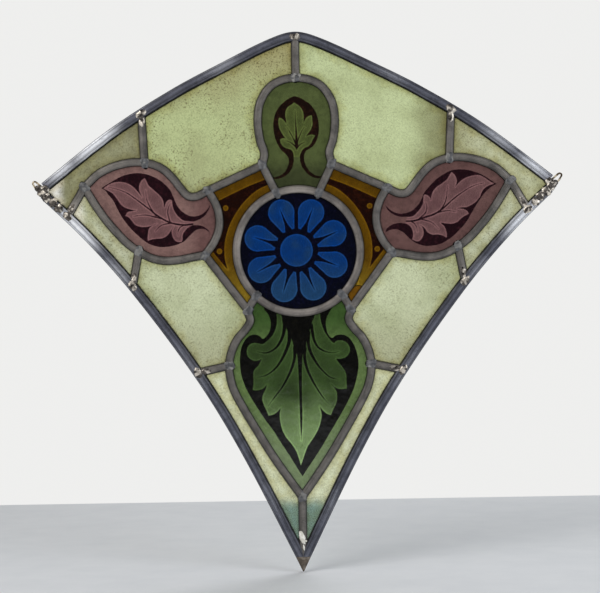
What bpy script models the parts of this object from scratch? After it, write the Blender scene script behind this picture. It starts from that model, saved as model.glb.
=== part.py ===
"""Leaded glass tracery panel: seventeen panes held in H-section lead cames.

The panel's flat layout is drawn in millimetres from the centre of the roundel, X to the right
and Y up, with Z towards the front. It is then stood up in the XZ plane, its front facing -Y.
The world origin is midway between the two hanging loops.
"""

from math import acos, atan2, ceil, cos, pi, radians, sin, sqrt

import bmesh
import bpy
from mathutils import Matrix, Vector
from mathutils.bvhtree import BVHTree
from mathutils.geometry import interpolate_bezier, intersect_line_line_2d, intersect_point_line

MM = 0.001

# Driving sizes of the whole panel, in millimetres
CORNER_REACH = 211.8      # centre line to the point where the outer edges would cross
CORNER_RISE = 51.5        # that point above the roundel's centre
APEX_RISE = 175.2         # top of the border above the roundel's centre
TIP_DROP = 256.5          # lowest point of the border below the roundel's centre
LOOP_RISE = 55.0          # line of the hanging loops above the roundel's centre
RING_RADIUS = 49.4        # centre line of the ring came

# Lead, glass and wire sections, in millimetres
BORDER_CAME_WIDTH = 8.0
CAME_WIDTH = 6.2
HEART_THICKNESS = 1.5
FLANGE_THICKNESS = 1.4
BORDER_LIP = 0.7          # thickness of the border's flanges at their edges
BORDER_CROWN = 5.6        # flat width on the border's flanges
CAME_CROWN = 2.4          # flat width on the other cames' rounder flanges
GLASS_THICKNESS = 3.0
WIRE_DIAMETER = 1.5
GAP = 0.3                 # clearance between neighbouring pieces

# Solder, in millimetres
SOLDER_RISE = 0.8         # height of a swelling over the came
SOLDER_SINK = 0.2         # how far its middle lies under the flange
SOLDER_LENGTH = 13.0      # length of a swelling along the border
SOLDER_WIDTH = 6.6
TIP_SOLDER_RISE = 11.5    # centre of the tip's swelling above the tip
TIP_SOLDER_LENGTH = 13.0
CORNER_SOLDER_RADIUS = 4.6
CORNER_SOLDER_ROUNDING = 0.8

# Facets and cutters
CHORD_ERROR = 0.45        # how far a facet may stand off its curve
CUTTER_DEPTH = 24.0
CUTTER_REACH = 60.0

HALF_CHANNEL = GLASS_THICKNESS / 2 + GAP
HALF_CAME = HALF_CHANNEL + FLANGE_THICKNESS
GLASS_SLOT_WIDTH = HEART_THICKNESS + 2 * GAP

# Right half of the outer edge, as shares of the reach and of the rise or drop
TOP_EDGE = [(1.0, 0.0), (0.708, 0.386), (0.472, 0.637), (0.283, 0.804), (0.094, 0.958), (0.0, 1.0)]
SIDE_EDGE = [(1.0, 0.0), (0.815, 0.123), (0.63, 0.27), (0.387, 0.502), (0.221, 0.697), (0.0, 1.0)]

# The leadwork is drawn for a panel of this reach, rise and drop, in millimetres
DRAWN_REACH = 211.8
DRAWN_RISE = 175.2
DRAWN_DROP = 256.5


def placed(x, y):
    """A drawn point of the leadwork, moved with the panel's own reach, rise and drop."""
    height = APEX_RISE / DRAWN_RISE if y > 0 else TIP_DROP / DRAWN_DROP
    return x * CORNER_REACH / DRAWN_REACH, y * height


# Free lines of the leadwork on the right half, from the roundel's centre
LOBE_TOP = placed(0.0, 138.4)
LOBE_SIDE = [
    placed(17.5, 133.8), placed(27.6, 121.5), placed(30.8, 106.0), placed(29.2, 89.0),
    placed(26.0, 78.5),
]
LOBE_FOOT = placed(27.8, 69.0)
MAUVE_SHOULDER = placed(71.5, 49.4)
MAUVE_UPPER = [
    placed(80.5, 45.0), placed(87.4, 45.4), placed(93.2, 51.6), placed(99.3, 59.6),
    placed(106.9, 66.9), placed(116.5, 71.4), placed(126.5, 73.0), placed(138.0, 72.0),
    placed(150.0, 68.6), placed(160.0, 63.2),
]
MAUVE_TIP = placed(170.2, 53.6)
MAUVE_LOWER = [
    placed(162.4, 40.5), placed(154.8, 29.2), placed(146.4, 18.8), placed(136.8, 8.6),
    placed(127.0, 1.2), placed(116.9, -4.0), placed(107.0, -6.1), placed(96.0, -5.7),
    placed(85.0, -3.8),
]
MAUVE_FOOT = placed(74.6, -2.0)
MAUVE_INNER = [
    placed(65.4, 38.5), placed(62.7, 27.5), placed(63.6, 17.0), placed(67.9, 7.0),
]
LEAF_SHOULDER = placed(40.9, -47.0)
LEAF_EDGE = [
    placed(39.3, -55.0), placed(43.2, -62.0), placed(49.6, -69.4), placed(54.0, -78.0),
    placed(56.6, -88.0), placed(56.5, -97.5), placed(53.6, -109.5), placed(47.3, -122.4),
    placed(36.6, -141.0), placed(24.2, -161.5), placed(11.8, -180.0),
]
LEAF_TIP = placed(0.0, -196.5)

# Where short cames leave the mauve leaf and the bottom leaf
MAUVE_CREST = placed(121.8, 72.6)
MAUVE_BELLY = placed(127.6, 1.7)
LEAF_SIDE = placed(56.9, -90.8)

# Pieces of each half that meet on the centre line
MEET_IN_MIDDLE = ("border_came_lower", "leaf_came")

# Where cames meet the ring, as angles from its right side
LOBE_FOOT_ANGLE = radians(70)
LEAF_RING_ANGLE = radians(-46)

# Where cames meet the border, as shares of each edge's length from the corner
CREST_JOINT = 0.413
CORNER_JOINT = 0.069
BELLY_JOINT = 0.276
LEAF_JOINT = 0.511

# Right hanging loop: its ends, as angles round the corner solder, and its bend from there
LOOP_START_ANGLE = radians(32)
LOOP_END_ANGLE = radians(-20)
LOOP_BEND = [(8.2, 6.6), (10.3, 7.9), (11.9, 6.9), (10.9, 4.3), (8.6, 1.4)]

# A spot on each pane
MIDDLE_PANES = {
    "glass_roundel": (0, 0),
    "glass_top_lobe": (0, 108),
    "glass_bottom_leaf": (0, -110),
}
SIDE_PANES = {
    "glass_amber": (54, 22),
    "glass_mauve_leaf": (115, 35),
    "glass_upper": (75, 95),
    "glass_corner_upper": (160, 73),
    "glass_corner_lower": (158, 20),
    "glass_lower": (85, -45),
    "glass_bottom": (27, -170),
}

# Base colour, roughness, metallic
FINISHES = {
    "border_lead": ((0.20, 0.22, 0.25), 0.30, 0.9),
    "came_lead": ((0.26, 0.25, 0.24), 0.55, 0.7),
    "solder": ((0.62, 0.58, 0.50), 0.28, 0.95),
    "wire": ((0.30, 0.26, 0.22), 0.45, 0.9),
    "blue_glass": ((0.01, 0.08, 0.28), 0.15, 0.0),
    "green_glass": ((0.10, 0.22, 0.08), 0.15, 0.0),
    "mauve_glass": ((0.28, 0.12, 0.13), 0.15, 0.0),
    "amber_glass": ((0.42, 0.22, 0.02), 0.15, 0.0),
    "pale_green_glass": ((0.55, 0.66, 0.40), 0.12, 0.0),
}
PANE_FINISHES = {
    "glass_roundel": "blue_glass",
    "glass_top_lobe": "green_glass",
    "glass_bottom_leaf": "green_glass",
    "glass_amber": "amber_glass",
    "glass_mauve_leaf": "mauve_glass",
}


def clear_scene():
    for item in list(bpy.data.objects):
        bpy.data.objects.remove(item, do_unlink=True)


def new_collection(name):
    collection = bpy.data.collections.new(name)
    bpy.context.scene.collection.children.link(collection)
    return collection


def make_materials():
    made = {}
    for name, (colour, roughness, metallic) in FINISHES.items():
        material = bpy.data.materials.new(name)
        material.use_nodes = True
        shader = material.node_tree.nodes["Principled BSDF"]
        shader.inputs["Base Color"].default_value = (*colour, 1.0)
        shader.inputs["Roughness"].default_value = roughness
        shader.inputs["Metallic"].default_value = metallic
        made[name] = material
    return made


# Lines in the flat layout

def mirrored(points):
    return [Vector((-x, y)) for x, y in points]


def towards(angle):
    return Vector((cos(angle), sin(angle)))


def facets(length, bend):
    """How many segments an arc of this length and turn needs."""
    return max(1, ceil(sqrt(length * bend / (8 * CHORD_ERROR))))


def smooth_line(points):
    """A smooth line through the points, with more segments where it bends more."""
    knots = [Vector(point) for point in points]
    if len(knots) == 2:
        return knots
    padded = [2 * knots[0] - knots[1]] + knots + [2 * knots[-1] - knots[-2]]
    slopes = [(after - before).normalized() for before, after in zip(padded, padded[2:])]
    line = [knots[0]]
    for start, end, leave, arrive in zip(knots, knots[1:], slopes, slopes[1:]):
        handle = (end - start).length / 3
        bend = acos(max(-1.0, min(1.0, leave.dot(arrive))))
        steps = facets(3 * handle, bend)
        curve = interpolate_bezier(start, start + handle * leave, end - handle * arrive, end, steps + 1)
        line += [Vector(point[:2]) for point in curve[1:]]
    return line


def offset_line(line, distance):
    """The line moved to its left by the distance."""
    moved = []
    for i, point in enumerate(line):
        along = line[min(i + 1, len(line) - 1)] - line[max(i - 1, 0)]
        moved.append(point + distance * Vector((-along.y, along.x)).normalized())
    return moved


def extended(line, start, end):
    """The line made longer at its start and its end."""
    first = line[0] + (line[0] - line[1]).normalized() * start
    last = line[-1] + (line[-1] - line[-2]).normalized() * end
    return [first] + line[1:-1] + [last]


def point_at_share(line, share):
    """The point a share of the way along the line."""
    spans = [(end - start).length for start, end in zip(line, line[1:])]
    left = share * sum(spans)
    for start, end, span in zip(line, line[1:], spans):
        if left <= span:
            return start.lerp(end, left / span)
        left -= span
    return line[-1]


def crossing(first, second):
    """Where two lines cross."""
    for a, b in zip(first, first[1:]):
        for c, d in zip(second, second[1:]):
            point = intersect_line_line_2d(a, b, c, d)
            if point is not None:
                return point
    raise ValueError("the two lines do not cross")


def from_foot(line, corner):
    """The line from the foot of the corner's perpendicular, moved on by half a gap."""
    for i, (start, end) in enumerate(zip(line, line[1:])):
        foot, share = intersect_point_line(corner, start, end)
        if share <= 1:
            break
    along = (end - start).normalized()
    return [Vector(foot[:2]) + along * GAP / 2] + line[i + 1:]


def outer_edges():
    """The outer edge from the right corner over the apex to the left, and down to the tip."""
    rise = APEX_RISE - CORNER_RISE
    drop = TIP_DROP + CORNER_RISE
    top = [(x * CORNER_REACH, CORNER_RISE + y * rise) for x, y in TOP_EDGE]
    side = [(x * CORNER_REACH, CORNER_RISE - y * drop) for x, y in SIDE_EDGE]
    over = smooth_line(top + [(-x, y) for x, y in reversed(top[:-1])])
    return over, smooth_line(side)


def border_lines():
    """Centre lines over the top and down to the tip, with the border's right inner corner."""
    over, side = outer_edges()
    corner = crossing(offset_line(over, BORDER_CAME_WIDTH), offset_line(side, -BORDER_CAME_WIDTH))
    top = offset_line(over, BORDER_CAME_WIDTH / 2)
    half_top = from_foot(top[:len(top) // 2 + 1], corner)
    lower = from_foot(offset_line(side, -BORDER_CAME_WIDTH / 2), corner)
    return half_top, lower, corner


def right_cames(half_top, lower):
    """Points of the cames on the right half, with the cames that each is cut back by."""
    ring_top = RING_RADIUS * towards(LOBE_FOOT_ANGLE)
    ring_side = RING_RADIUS * towards(LEAF_RING_ANGLE)
    crest = point_at_share(half_top, CREST_JOINT)
    corner = point_at_share(lower, CORNER_JOINT)
    belly = point_at_share(lower, BELLY_JOINT)
    side = point_at_share(lower, LEAF_JOINT)
    return {
        "amber_top_came": ([LOBE_FOOT, MAUVE_SHOULDER], ["lobe_came"]),
        "lobe_foot_came": ([LOBE_FOOT, ring_top], ["lobe_came", "amber_top_came", "ring_came"]),
        "mauve_upper_came": ([MAUVE_SHOULDER, *MAUVE_UPPER, MAUVE_TIP], ["amber_top_came"]),
        "mauve_inner_came": ([MAUVE_SHOULDER, *MAUVE_INNER, MAUVE_FOOT],
                             ["amber_top_came", "mauve_upper_came"]),
        "mauve_lower_came": ([MAUVE_TIP, *MAUVE_LOWER, MAUVE_FOOT],
                             ["mauve_upper_came", "mauve_inner_came"]),
        "leaf_came": ([ring_side, LEAF_SHOULDER, *LEAF_EDGE, LEAF_TIP], ["ring_came"]),
        "amber_lower_came": ([MAUVE_FOOT, LEAF_SHOULDER],
                             ["mauve_lower_came", "mauve_inner_came", "leaf_came"]),
        "crest_came": ([MAUVE_CREST, crest], ["mauve_upper_came", "border_came_top"]),
        "corner_came": ([MAUVE_TIP, corner],
                        ["mauve_upper_came", "mauve_lower_came", "border_came_lower"]),
        "belly_came": ([MAUVE_BELLY, belly], ["mauve_lower_came", "border_came_lower"]),
        "leaf_side_came": ([LEAF_SIDE, side], ["leaf_came", "border_came_lower"]),
    }


def middle_cames():
    """Points of the cames on the centre line, with the cames that each is cut back by."""
    lobe = [LOBE_TOP, *LOBE_SIDE, LOBE_FOOT]
    apex = (0, APEX_RISE - BORDER_CAME_WIDTH / 2)
    lowest = ["leaf_came_right", "leaf_came_left", "border_came_lower_right", "border_came_lower_left"]
    return {
        "lobe_came": (lobe[::-1] + [(-x, y) for x, y in lobe[1:]], []),
        "stem_came": ([apex, LOBE_TOP], ["border_came_top", "lobe_came"]),
        "tail_came": ([LEAF_TIP, (0, -TIP_DROP)], lowest),
    }


# Solids from the flat layout

def mesh_object(name, bm, collection):
    mesh = bpy.data.meshes.new(name)
    bmesh.ops.recalc_face_normals(bm, faces=bm.faces)
    bm.to_mesh(mesh)
    bm.free()
    made = bpy.data.objects.new(name, mesh)
    collection.objects.link(made)
    return made


def evaluated_bmesh(item):
    graph = bpy.context.evaluated_depsgraph_get()
    mesh = bpy.data.meshes.new_from_object(item.evaluated_get(graph))
    bm = bmesh.new()
    bm.from_mesh(mesh)
    bpy.data.meshes.remove(mesh)
    return bm


def remove_curve(item):
    data = item.data
    bpy.data.objects.remove(item, do_unlink=True)
    bpy.data.curves.remove(data)


def curve_to_mesh(item, collection):
    """The curve's surface as a mesh object, with its caps welded on."""
    bm = evaluated_bmesh(item)
    name = item.name
    remove_curve(item)
    bmesh.ops.remove_doubles(bm, verts=bm.verts, dist=0.01)
    return mesh_object(name, bm, collection)


def poly_curve(name, points, dimensions, cyclic, collection):
    curve = bpy.data.curves.new(name, "CURVE")
    curve.dimensions = dimensions
    spline = curve.splines.new("POLY")
    spline.points.add(len(points) - 1)
    for spot, point in zip(spline.points, points):
        spot.co = (point[0], point[1], 0.0, 1.0)
    spline.use_cyclic_u = cyclic
    item = bpy.data.objects.new(name, curve)
    collection.objects.link(item)
    return item


def sweep(name, line, section, collection, cyclic=False):
    """A section, across by depth, run along a line of the layout."""
    profile = poly_curve(name + "_section", section, "2D", True, collection)
    item = poly_curve(name, line, "3D", cyclic, collection)
    item.data.twist_mode = "Z_UP"
    item.data.bevel_mode = "OBJECT"
    item.data.bevel_object = profile
    item.data.use_fill_caps = not cyclic
    made = curve_to_mesh(item, collection)
    remove_curve(profile)
    return made


def plate(name, points, half_thickness, collection):
    item = poly_curve(name, points, "2D", True, collection)
    item.data.fill_mode = "BOTH"
    item.data.extrude = half_thickness
    return curve_to_mesh(item, collection)


def h_section(flange):
    """H-section from the outline of one quarter's flange."""
    quarter = flange + [(HEART_THICKNESS / 2, HALF_CHANNEL)]
    right = quarter + [(x, -y) for x, y in reversed(quarter)]
    return right + [(-x, y) for x, y in reversed(right)]


def border_section():
    half = BORDER_CAME_WIDTH / 2
    return h_section([(BORDER_CROWN / 2, HALF_CAME), (half, HALF_CHANNEL + BORDER_LIP), (half, HALF_CHANNEL)])


def round_section():
    return h_section([(CAME_CROWN / 2, HALF_CAME), (CAME_WIDTH / 2, HALF_CHANNEL)])


def strip_section(width):
    half = width / 2
    deep = CUTTER_DEPTH / 2
    return [(-half, -deep), (half, -deep), (half, deep), (-half, deep)]


def boolean(item, operation, others, solver="EXACT"):
    for other in others:
        step = item.modifiers.new(operation.lower(), "BOOLEAN")
        step.operation = operation
        step.solver = solver
        step.object = other


def linked_faces(face):
    """The faces that hang together with this one."""
    found = {face}
    stack = [face]
    while stack:
        for edge in stack.pop().edges:
            for other in edge.link_faces:
                if other not in found:
                    found.add(other)
                    stack.append(other)
    return found


def keep_faces(bm, kept):
    bmesh.ops.delete(bm, geom=[face for face in bm.faces if face not in kept], context="FACES")


def largest_group(bm):
    left = set(bm.faces)
    best = set()
    while left:
        group = linked_faces(next(iter(left)))
        left -= group
        best = max(best, group, key=lambda faces: sum(face.calc_area() for face in faces))
    return best


def settle(item):
    """Applies the item's cuts and drops the offcuts."""
    bm = evaluated_bmesh(item)
    keep_faces(bm, largest_group(bm))
    item.modifiers.clear()
    bm.to_mesh(item.data)
    bm.free()


def guide(item):
    item.hide_render = True
    item.display_type = "WIRE"
    return item


def box(name, low, high, collection):
    """A cutter box between two corners of the layout, as deep as the other cutters."""
    bm = bmesh.new()
    size = Vector((high[0] - low[0], high[1] - low[1], CUTTER_DEPTH))
    middle = Vector((high[0] + low[0], high[1] + low[1], 0)) / 2
    bmesh.ops.create_cube(bm, matrix=Matrix.LocRotScale(middle, None, size))
    return guide(mesh_object(name, bm, collection))


def far_side(name, suffix, edge, collection):
    """A box over all that lies past the middle from a left or right piece, short of it by the edge."""
    low, high = (-CUTTER_REACH, edge) if name.endswith("right") else (-edge, CUTTER_REACH)
    return box(name + suffix, (low, -TIP_DROP - CUTTER_REACH), (high, 0), collection)


def swelling(name, place, along, length, face, collection):
    """A low mound of solder on a flange, face being 1 in front and -1 behind."""
    bm = bmesh.new()
    size = Vector((length / 2, SOLDER_WIDTH / 2, SOLDER_RISE + SOLDER_SINK))
    turn = Matrix.Rotation(atan2(along.y, along.x), 4, "Z")
    move = Matrix.Translation((place.x, place.y, face * (HALF_CAME - SOLDER_SINK)))
    stretched = move @ turn @ Matrix.Diagonal(size).to_4x4()
    bmesh.ops.create_uvsphere(bm, u_segments=10, v_segments=5, radius=1, matrix=stretched)
    return guide(mesh_object(name, bm, collection))


# The pieces

def came_plan():
    """Each came's centre line, its width and the cames that cut it back."""
    half_top, lower, corner = border_lines()
    whole_top = half_top + mirrored(half_top[-2::-1])
    to_tip = extended(lower, 0, BORDER_CAME_WIDTH)
    plan = {
        "border_came_top": (whole_top, BORDER_CAME_WIDTH, []),
        "border_came_lower_right": (to_tip, BORDER_CAME_WIDTH, []),
        "border_came_lower_left": (mirrored(to_tip), BORDER_CAME_WIDTH, []),
    }
    for name, (points, beside) in middle_cames().items():
        plan[name] = (smooth_line(points), CAME_WIDTH, beside)
    for name, (points, beside) in right_cames(half_top, lower).items():
        line = smooth_line(points)
        if name == "leaf_came":
            line = extended(line, 0, CAME_WIDTH)
        for side, drawn in (("right", line), ("left", mirrored(line))):
            sided = [other if other in plan or other == "ring_came" else other + "_" + side
                     for other in beside]
            plan[name + "_" + side] = (drawn, CAME_WIDTH, sided)
    return plan, corner, half_top, lower


def add_footprints(plan, ring, cutters):
    """For each came, the space it takes from its neighbours and the slot it takes from the glass."""
    spaces = {}
    slots = {}
    for name, (line, width, beside) in plan.items():
        wide = strip_section(width + 2 * GAP)
        narrow = strip_section(GLASS_SLOT_WIDTH)
        reach = GLASS_SLOT_WIDTH / 2
        spaces[name] = guide(sweep(name + "_space", extended(line, GAP, GAP), wide, cutters))
        slots[name] = guide(sweep(name + "_slot", extended(line, reach, reach), narrow, cutters))
        if name.startswith(MEET_IN_MIDDLE):
            boolean(spaces[name], "DIFFERENCE", [far_side(name, "_space_end", -GAP / 2, cutters)])
            boolean(slots[name], "DIFFERENCE", [far_side(name, "_slot_end", -reach, cutters)])
    wide = strip_section(CAME_WIDTH + 2 * GAP)
    spaces["ring_came"] = guide(sweep("ring_came_space", ring, wide, cutters, cyclic=True))
    narrow = strip_section(GLASS_SLOT_WIDTH)
    slots["ring_came"] = guide(sweep("ring_came_slot", ring, narrow, cutters, cyclic=True))
    return spaces, slots


def add_swellings(half_top, lower, cutters):
    """Solder mounds at the joints on the border, by the border came they belong to."""
    joints = [("apex", "border_came_top", half_top, 1.0), ("crest", "border_came_top", half_top, CREST_JOINT),
              ("corner", "border_came_lower", lower, CORNER_JOINT),
              ("belly", "border_came_lower", lower, BELLY_JOINT),
              ("leaf", "border_came_lower", lower, LEAF_JOINT)]
    mounds = {"border_came_top": [], "border_came_lower_right": [], "border_came_lower_left": []}
    for name, owner, line, share in joints:
        place = point_at_share(line, share)
        along = point_at_share(line, share + 0.01) - point_at_share(line, share - 0.01)
        if name == "apex":
            along = Vector((1, 0))
        for side, flip in (("right", 1), ("left", -1)):
            if name == "apex" and flip < 0:
                continue
            for face in (1, -1):
                spot = Vector((flip * place.x, place.y))
                run = Vector((flip * along.x, along.y))
                label = "_".join((name, side, "front" if face > 0 else "back", "solder"))
                mound = swelling(label, spot, run, SOLDER_LENGTH, face, cutters)
                mounds[owner if owner in mounds else owner + "_" + side].append(mound)
    for face in (1, -1):
        label = "tip_front_solder" if face > 0 else "tip_back_solder"
        spot = Vector((0, TIP_SOLDER_RISE - TIP_DROP))
        mound = swelling(label, spot, Vector((0, 1)), TIP_SOLDER_LENGTH, face, cutters)
        mounds["border_came_lower_right"].append(mound)
        mounds["border_came_lower_left"].append(mound)
    return mounds


def add_cames(plan, ring, spaces, mounds, parts, cutters):
    for name, (line, width, beside) in plan.items():
        section = border_section() if name.startswith("border") else round_section()
        item = sweep(name, line, section, parts)
        cuts = [spaces[other] for other in beside]
        if name.startswith(MEET_IN_MIDDLE):
            cuts.append(far_side(name, "_end", GAP / 2, cutters))
        boolean(item, "UNION", mounds.get(name, []), "MANIFOLD")
        boolean(item, "DIFFERENCE", cuts, "MANIFOLD")
        settle(item)
    sweep("ring_came", ring, round_section(), parts, cyclic=True)


def corner_wedge(corner, half_top, lower):
    """The notch between the square ends of the border cames: its two sides and its middle."""
    leave_top = (half_top[0] - half_top[1]).normalized()
    leave_lower = (lower[0] - lower[1]).normalized()
    upper = Vector((-leave_top.y, leave_top.x))
    under = Vector((leave_lower.y, -leave_lower.x))
    start = atan2(under.y, under.x)
    end = atan2(upper.y, upper.x)
    return start, end, towards((start + end) / 2)


def add_corners(corner, half_top, lower, parts, cutters):
    """Solder in the notch at each corner, and the wire loop that stands in it."""
    start, end, middle = corner_wedge(corner, half_top, lower)
    shift = GAP / 2 / sin((end - start) / 2)
    heart = corner + shift * middle
    turns = 8
    angles = [start + (end - start) * i / turns for i in range(turns + 1)]
    sector = [heart] + [heart + CORNER_SOLDER_RADIUS * towards(angle) for angle in angles]
    notch = [corner - shift * middle + (CUTTER_DEPTH * towards(angle) if far else Vector((0, 0)))
             for angle, far in ((0, False), (start, True), (end, True))]
    round_space = [heart + (CORNER_SOLDER_RADIUS + GAP) * towards(2 * pi * i / 24) for i in range(24)]
    wire_start = heart + CORNER_SOLDER_RADIUS / 2 * towards(LOOP_START_ANGLE)
    wire_end = heart + CORNER_SOLDER_RADIUS / 2 * towards(LOOP_END_ANGLE)
    bend = [corner + Vector(point) for point in LOOP_BEND]
    wire_line = smooth_line([wire_start, *bend, wire_end])
    notches = []
    for side, place in (("right", lambda points: points), ("left", mirrored)):
        solder = plate("corner_solder_" + side, place(sector), HALF_CAME, parts)
        rounding = solder.modifiers.new("rounding", "BEVEL")
        rounding.width = CORNER_SOLDER_ROUNDING
        rounding.segments = 2
        rounding.limit_method = "ANGLE"
        rounding.angle_limit = radians(60)
        settle(solder)
        notches.append(guide(plate("notch_" + side, place(notch), CUTTER_DEPTH / 2, cutters)))
        space = guide(plate("corner_space_" + side, place(round_space), CUTTER_DEPTH / 2, cutters))
        wire = poly_curve("hanging_loop_" + side, place(wire_line), "3D", False, parts)
        wire.data.bevel_depth = WIRE_DIAMETER / 2
        wire.data.bevel_resolution = 2
        wire.data.use_fill_caps = True
        loop = curve_to_mesh(wire, parts)
        boolean(loop, "DIFFERENCE", [space])
        settle(loop)
    return notches


def add_panes(slots, notches, parts, cutters):
    """One sheet the size of the panel, slotted along every came, parted into its panes."""
    over, side = outer_edges()
    outline = over[:-1] + mirrored(side)[:-1] + side[:0:-1]
    sheet = plate("sheet", outline, GLASS_THICKNESS / 2, cutters)
    boolean(sheet, "DIFFERENCE", list(slots.values()) + notches)
    settled = evaluated_bmesh(sheet)
    spots = dict(MIDDLE_PANES)
    for name, (x, y) in SIDE_PANES.items():
        spots[name + "_right"] = (x, y)
        spots[name + "_left"] = (-x, y)
    for name, spot in spots.items():
        bm = settled.copy()
        tree = BVHTree.FromBMesh(bm)
        bm.faces.ensure_lookup_table()
        found = tree.ray_cast(Vector((*placed(*spot), CUTTER_DEPTH)), Vector((0, 0, -1)))[2]
        keep_faces(bm, linked_faces(bm.faces[found]))
        mesh_object(name, bm, parts)
    settled.free()
    guide(sheet)


def finish_for(name):
    """The finish of a piece, by its name."""
    if name.startswith("glass"):
        return PANE_FINISHES.get(name.removesuffix("_left").removesuffix("_right"), "pale_green_glass")
    for start, finish in (("border", "border_lead"), ("corner_solder", "solder"), ("hanging", "wire")):
        if name.startswith(start):
            return finish
    return "came_lead"


def stand_up(collection, upright, materials=None):
    """Scales the layout's meshes to metres and hangs them on the upright empty."""
    for item in collection.objects:
        item.data.transform(Matrix.Scale(MM, 4))
        item.parent = upright
        if materials:
            item.data.materials.clear()
            item.data.materials.append(materials[finish_for(item.name)])
            item.data.shade_smooth()
            item.data.set_sharp_from_angle(angle=radians(30))


def build():
    clear_scene()
    parts = new_collection("leaded_glass_panel")
    cutters = new_collection("cutters")
    plan, corner, half_top, lower = came_plan()
    turns = facets(2 * pi * RING_RADIUS, 2 * pi)
    ring = [RING_RADIUS * towards(2 * pi * i / turns) for i in range(turns)]
    spaces, slots = add_footprints(plan, ring, cutters)
    mounds = add_swellings(half_top, lower, cutters)
    add_cames(plan, ring, spaces, mounds, parts, cutters)
    notches = add_corners(corner, half_top, lower, parts, cutters)
    add_panes(slots, notches, parts, cutters)
    upright = bpy.data.objects.new("upright", None)
    upright.rotation_euler = (radians(90), 0, 0)
    upright.location = (0, 0, -LOOP_RISE * MM)
    bpy.context.scene.collection.objects.link(upright)
    stand_up(parts, upright, make_materials())
    stand_up(cutters, upright)


build()
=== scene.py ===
from math import atan2, ceil, copysign, cos, pi, radians, sin, tanh

import bpy
import numpy as np
from mathutils import Matrix, Vector, noise
from mathutils.bvhtree import BVHTree
from mathutils.geometry import interpolate_bezier, intersect_line_line_2d, intersect_point_line


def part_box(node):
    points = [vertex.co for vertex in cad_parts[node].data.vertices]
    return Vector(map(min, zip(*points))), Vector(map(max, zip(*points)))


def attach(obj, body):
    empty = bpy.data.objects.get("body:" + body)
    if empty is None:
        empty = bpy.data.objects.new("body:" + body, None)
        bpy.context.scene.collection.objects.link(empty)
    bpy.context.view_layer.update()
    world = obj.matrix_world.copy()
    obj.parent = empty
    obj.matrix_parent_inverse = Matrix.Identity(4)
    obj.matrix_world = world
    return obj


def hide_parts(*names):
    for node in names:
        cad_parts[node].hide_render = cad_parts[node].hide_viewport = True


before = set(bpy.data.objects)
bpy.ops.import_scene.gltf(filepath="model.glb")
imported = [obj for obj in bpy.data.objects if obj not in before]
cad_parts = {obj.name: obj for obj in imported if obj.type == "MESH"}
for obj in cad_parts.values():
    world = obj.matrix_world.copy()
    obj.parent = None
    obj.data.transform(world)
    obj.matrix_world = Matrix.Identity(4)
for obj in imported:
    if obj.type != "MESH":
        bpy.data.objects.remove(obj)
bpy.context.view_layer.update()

mm = 0.001
loopRise = 55.0                # the hanging loops above the roundel's centre; they are the world's origin
toWorld = (Matrix.Translation((0, 0, -loopRise * mm)) @ Matrix.Rotation(radians(90), 4, "X")
           @ Matrix.Scale(mm, 4))

bpy.context.scene.view_settings.view_transform = "Standard"


# The leadwork's lines lie in a flat layout in millimetres: X to the right, Y up, from the roundel's centre.

leadwork = {
    "cornerReach": 211.8, "cornerRise": 51.5, "apexRise": 175.2, "tipDrop": 256.5, "ringRadius": 49.4,
    "borderWidth": 8.0, "cameWidth": 6.2, "halfCame": 3.2, "halfChannel": 1.8, "heart": 1.5, "gap": 0.3,
    "archTurns": (0.0, 0.3, 0.6, 0.9, 1.2, 1.42),                          # over an inner came's rounded face
    "borderFace": [(0.0, 3.2), (2.2, 3.19), (2.9, 3.12), (3.45, 2.93), (3.85, 2.6), (4.0, 2.25)],
    "dentDepth": 0.16, "dentScale": 0.09, "patternShift": 7.0,
    "step": 1.6,               # between the sections of the swept lead
    "topEdge": [(1.0, 0.0), (0.708, 0.386), (0.472, 0.637), (0.283, 0.804), (0.094, 0.958), (0.0, 1.0)],
    "sideEdge": [(1.0, 0.0), (0.815, 0.123), (0.63, 0.27), (0.387, 0.502), (0.221, 0.697), (0.0, 1.0)],
    "lobeTop": (0.0, 138.4),
    "lobeSide": [(17.5, 133.8), (27.6, 121.5), (30.8, 106.0), (29.2, 89.0), (26.0, 78.5)],
    "lobeFoot": (27.8, 69.0),
    "mauveShoulder": (71.5, 49.4),
    "mauveUpper": [(80.5, 45.0), (87.4, 45.4), (93.2, 51.6), (99.3, 59.6), (106.9, 66.9), (116.5, 71.4),
                   (126.5, 73.0), (138.0, 72.0), (150.0, 68.6), (160.0, 63.2)],
    "mauveTip": (170.2, 53.6),
    "mauveLower": [(162.4, 40.5), (154.8, 29.2), (146.4, 18.8), (136.8, 8.6), (127.0, 1.2), (116.9, -4.0),
                   (107.0, -6.1), (96.0, -5.7), (85.0, -3.8)],
    "mauveFoot": (74.6, -2.0),
    "mauveInner": [(65.4, 38.5), (62.7, 27.5), (63.6, 17.0), (67.9, 7.0)],
    "leafShoulder": (40.9, -47.0),
    "leafEdge": [(39.3, -55.0), (43.2, -62.0), (49.6, -69.4), (54.0, -78.0), (56.6, -88.0), (56.5, -97.5),
                 (53.6, -109.5), (47.3, -122.4), (36.6, -141.0), (24.2, -161.5), (11.8, -180.0)],
    "leafTip": (0.0, -196.5),
    "mauveCrest": (121.8, 72.6), "mauveBelly": (127.6, 1.7), "leafSide": (56.9, -90.8),
    "lobeFootAngle": radians(70), "leafRingAngle": radians(-46),
    "crestJoint": 0.413, "cornerJoint": 0.069, "bellyJoint": 0.276, "leafJoint": 0.511,
    "tipJoint": 11.5,          # the tail came's end above the tip
}


def towards(angle):
    return Vector((cos(angle), sin(angle)))


def mirrored(points):
    return [Vector((-x, y)) for x, y in points]


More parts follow.
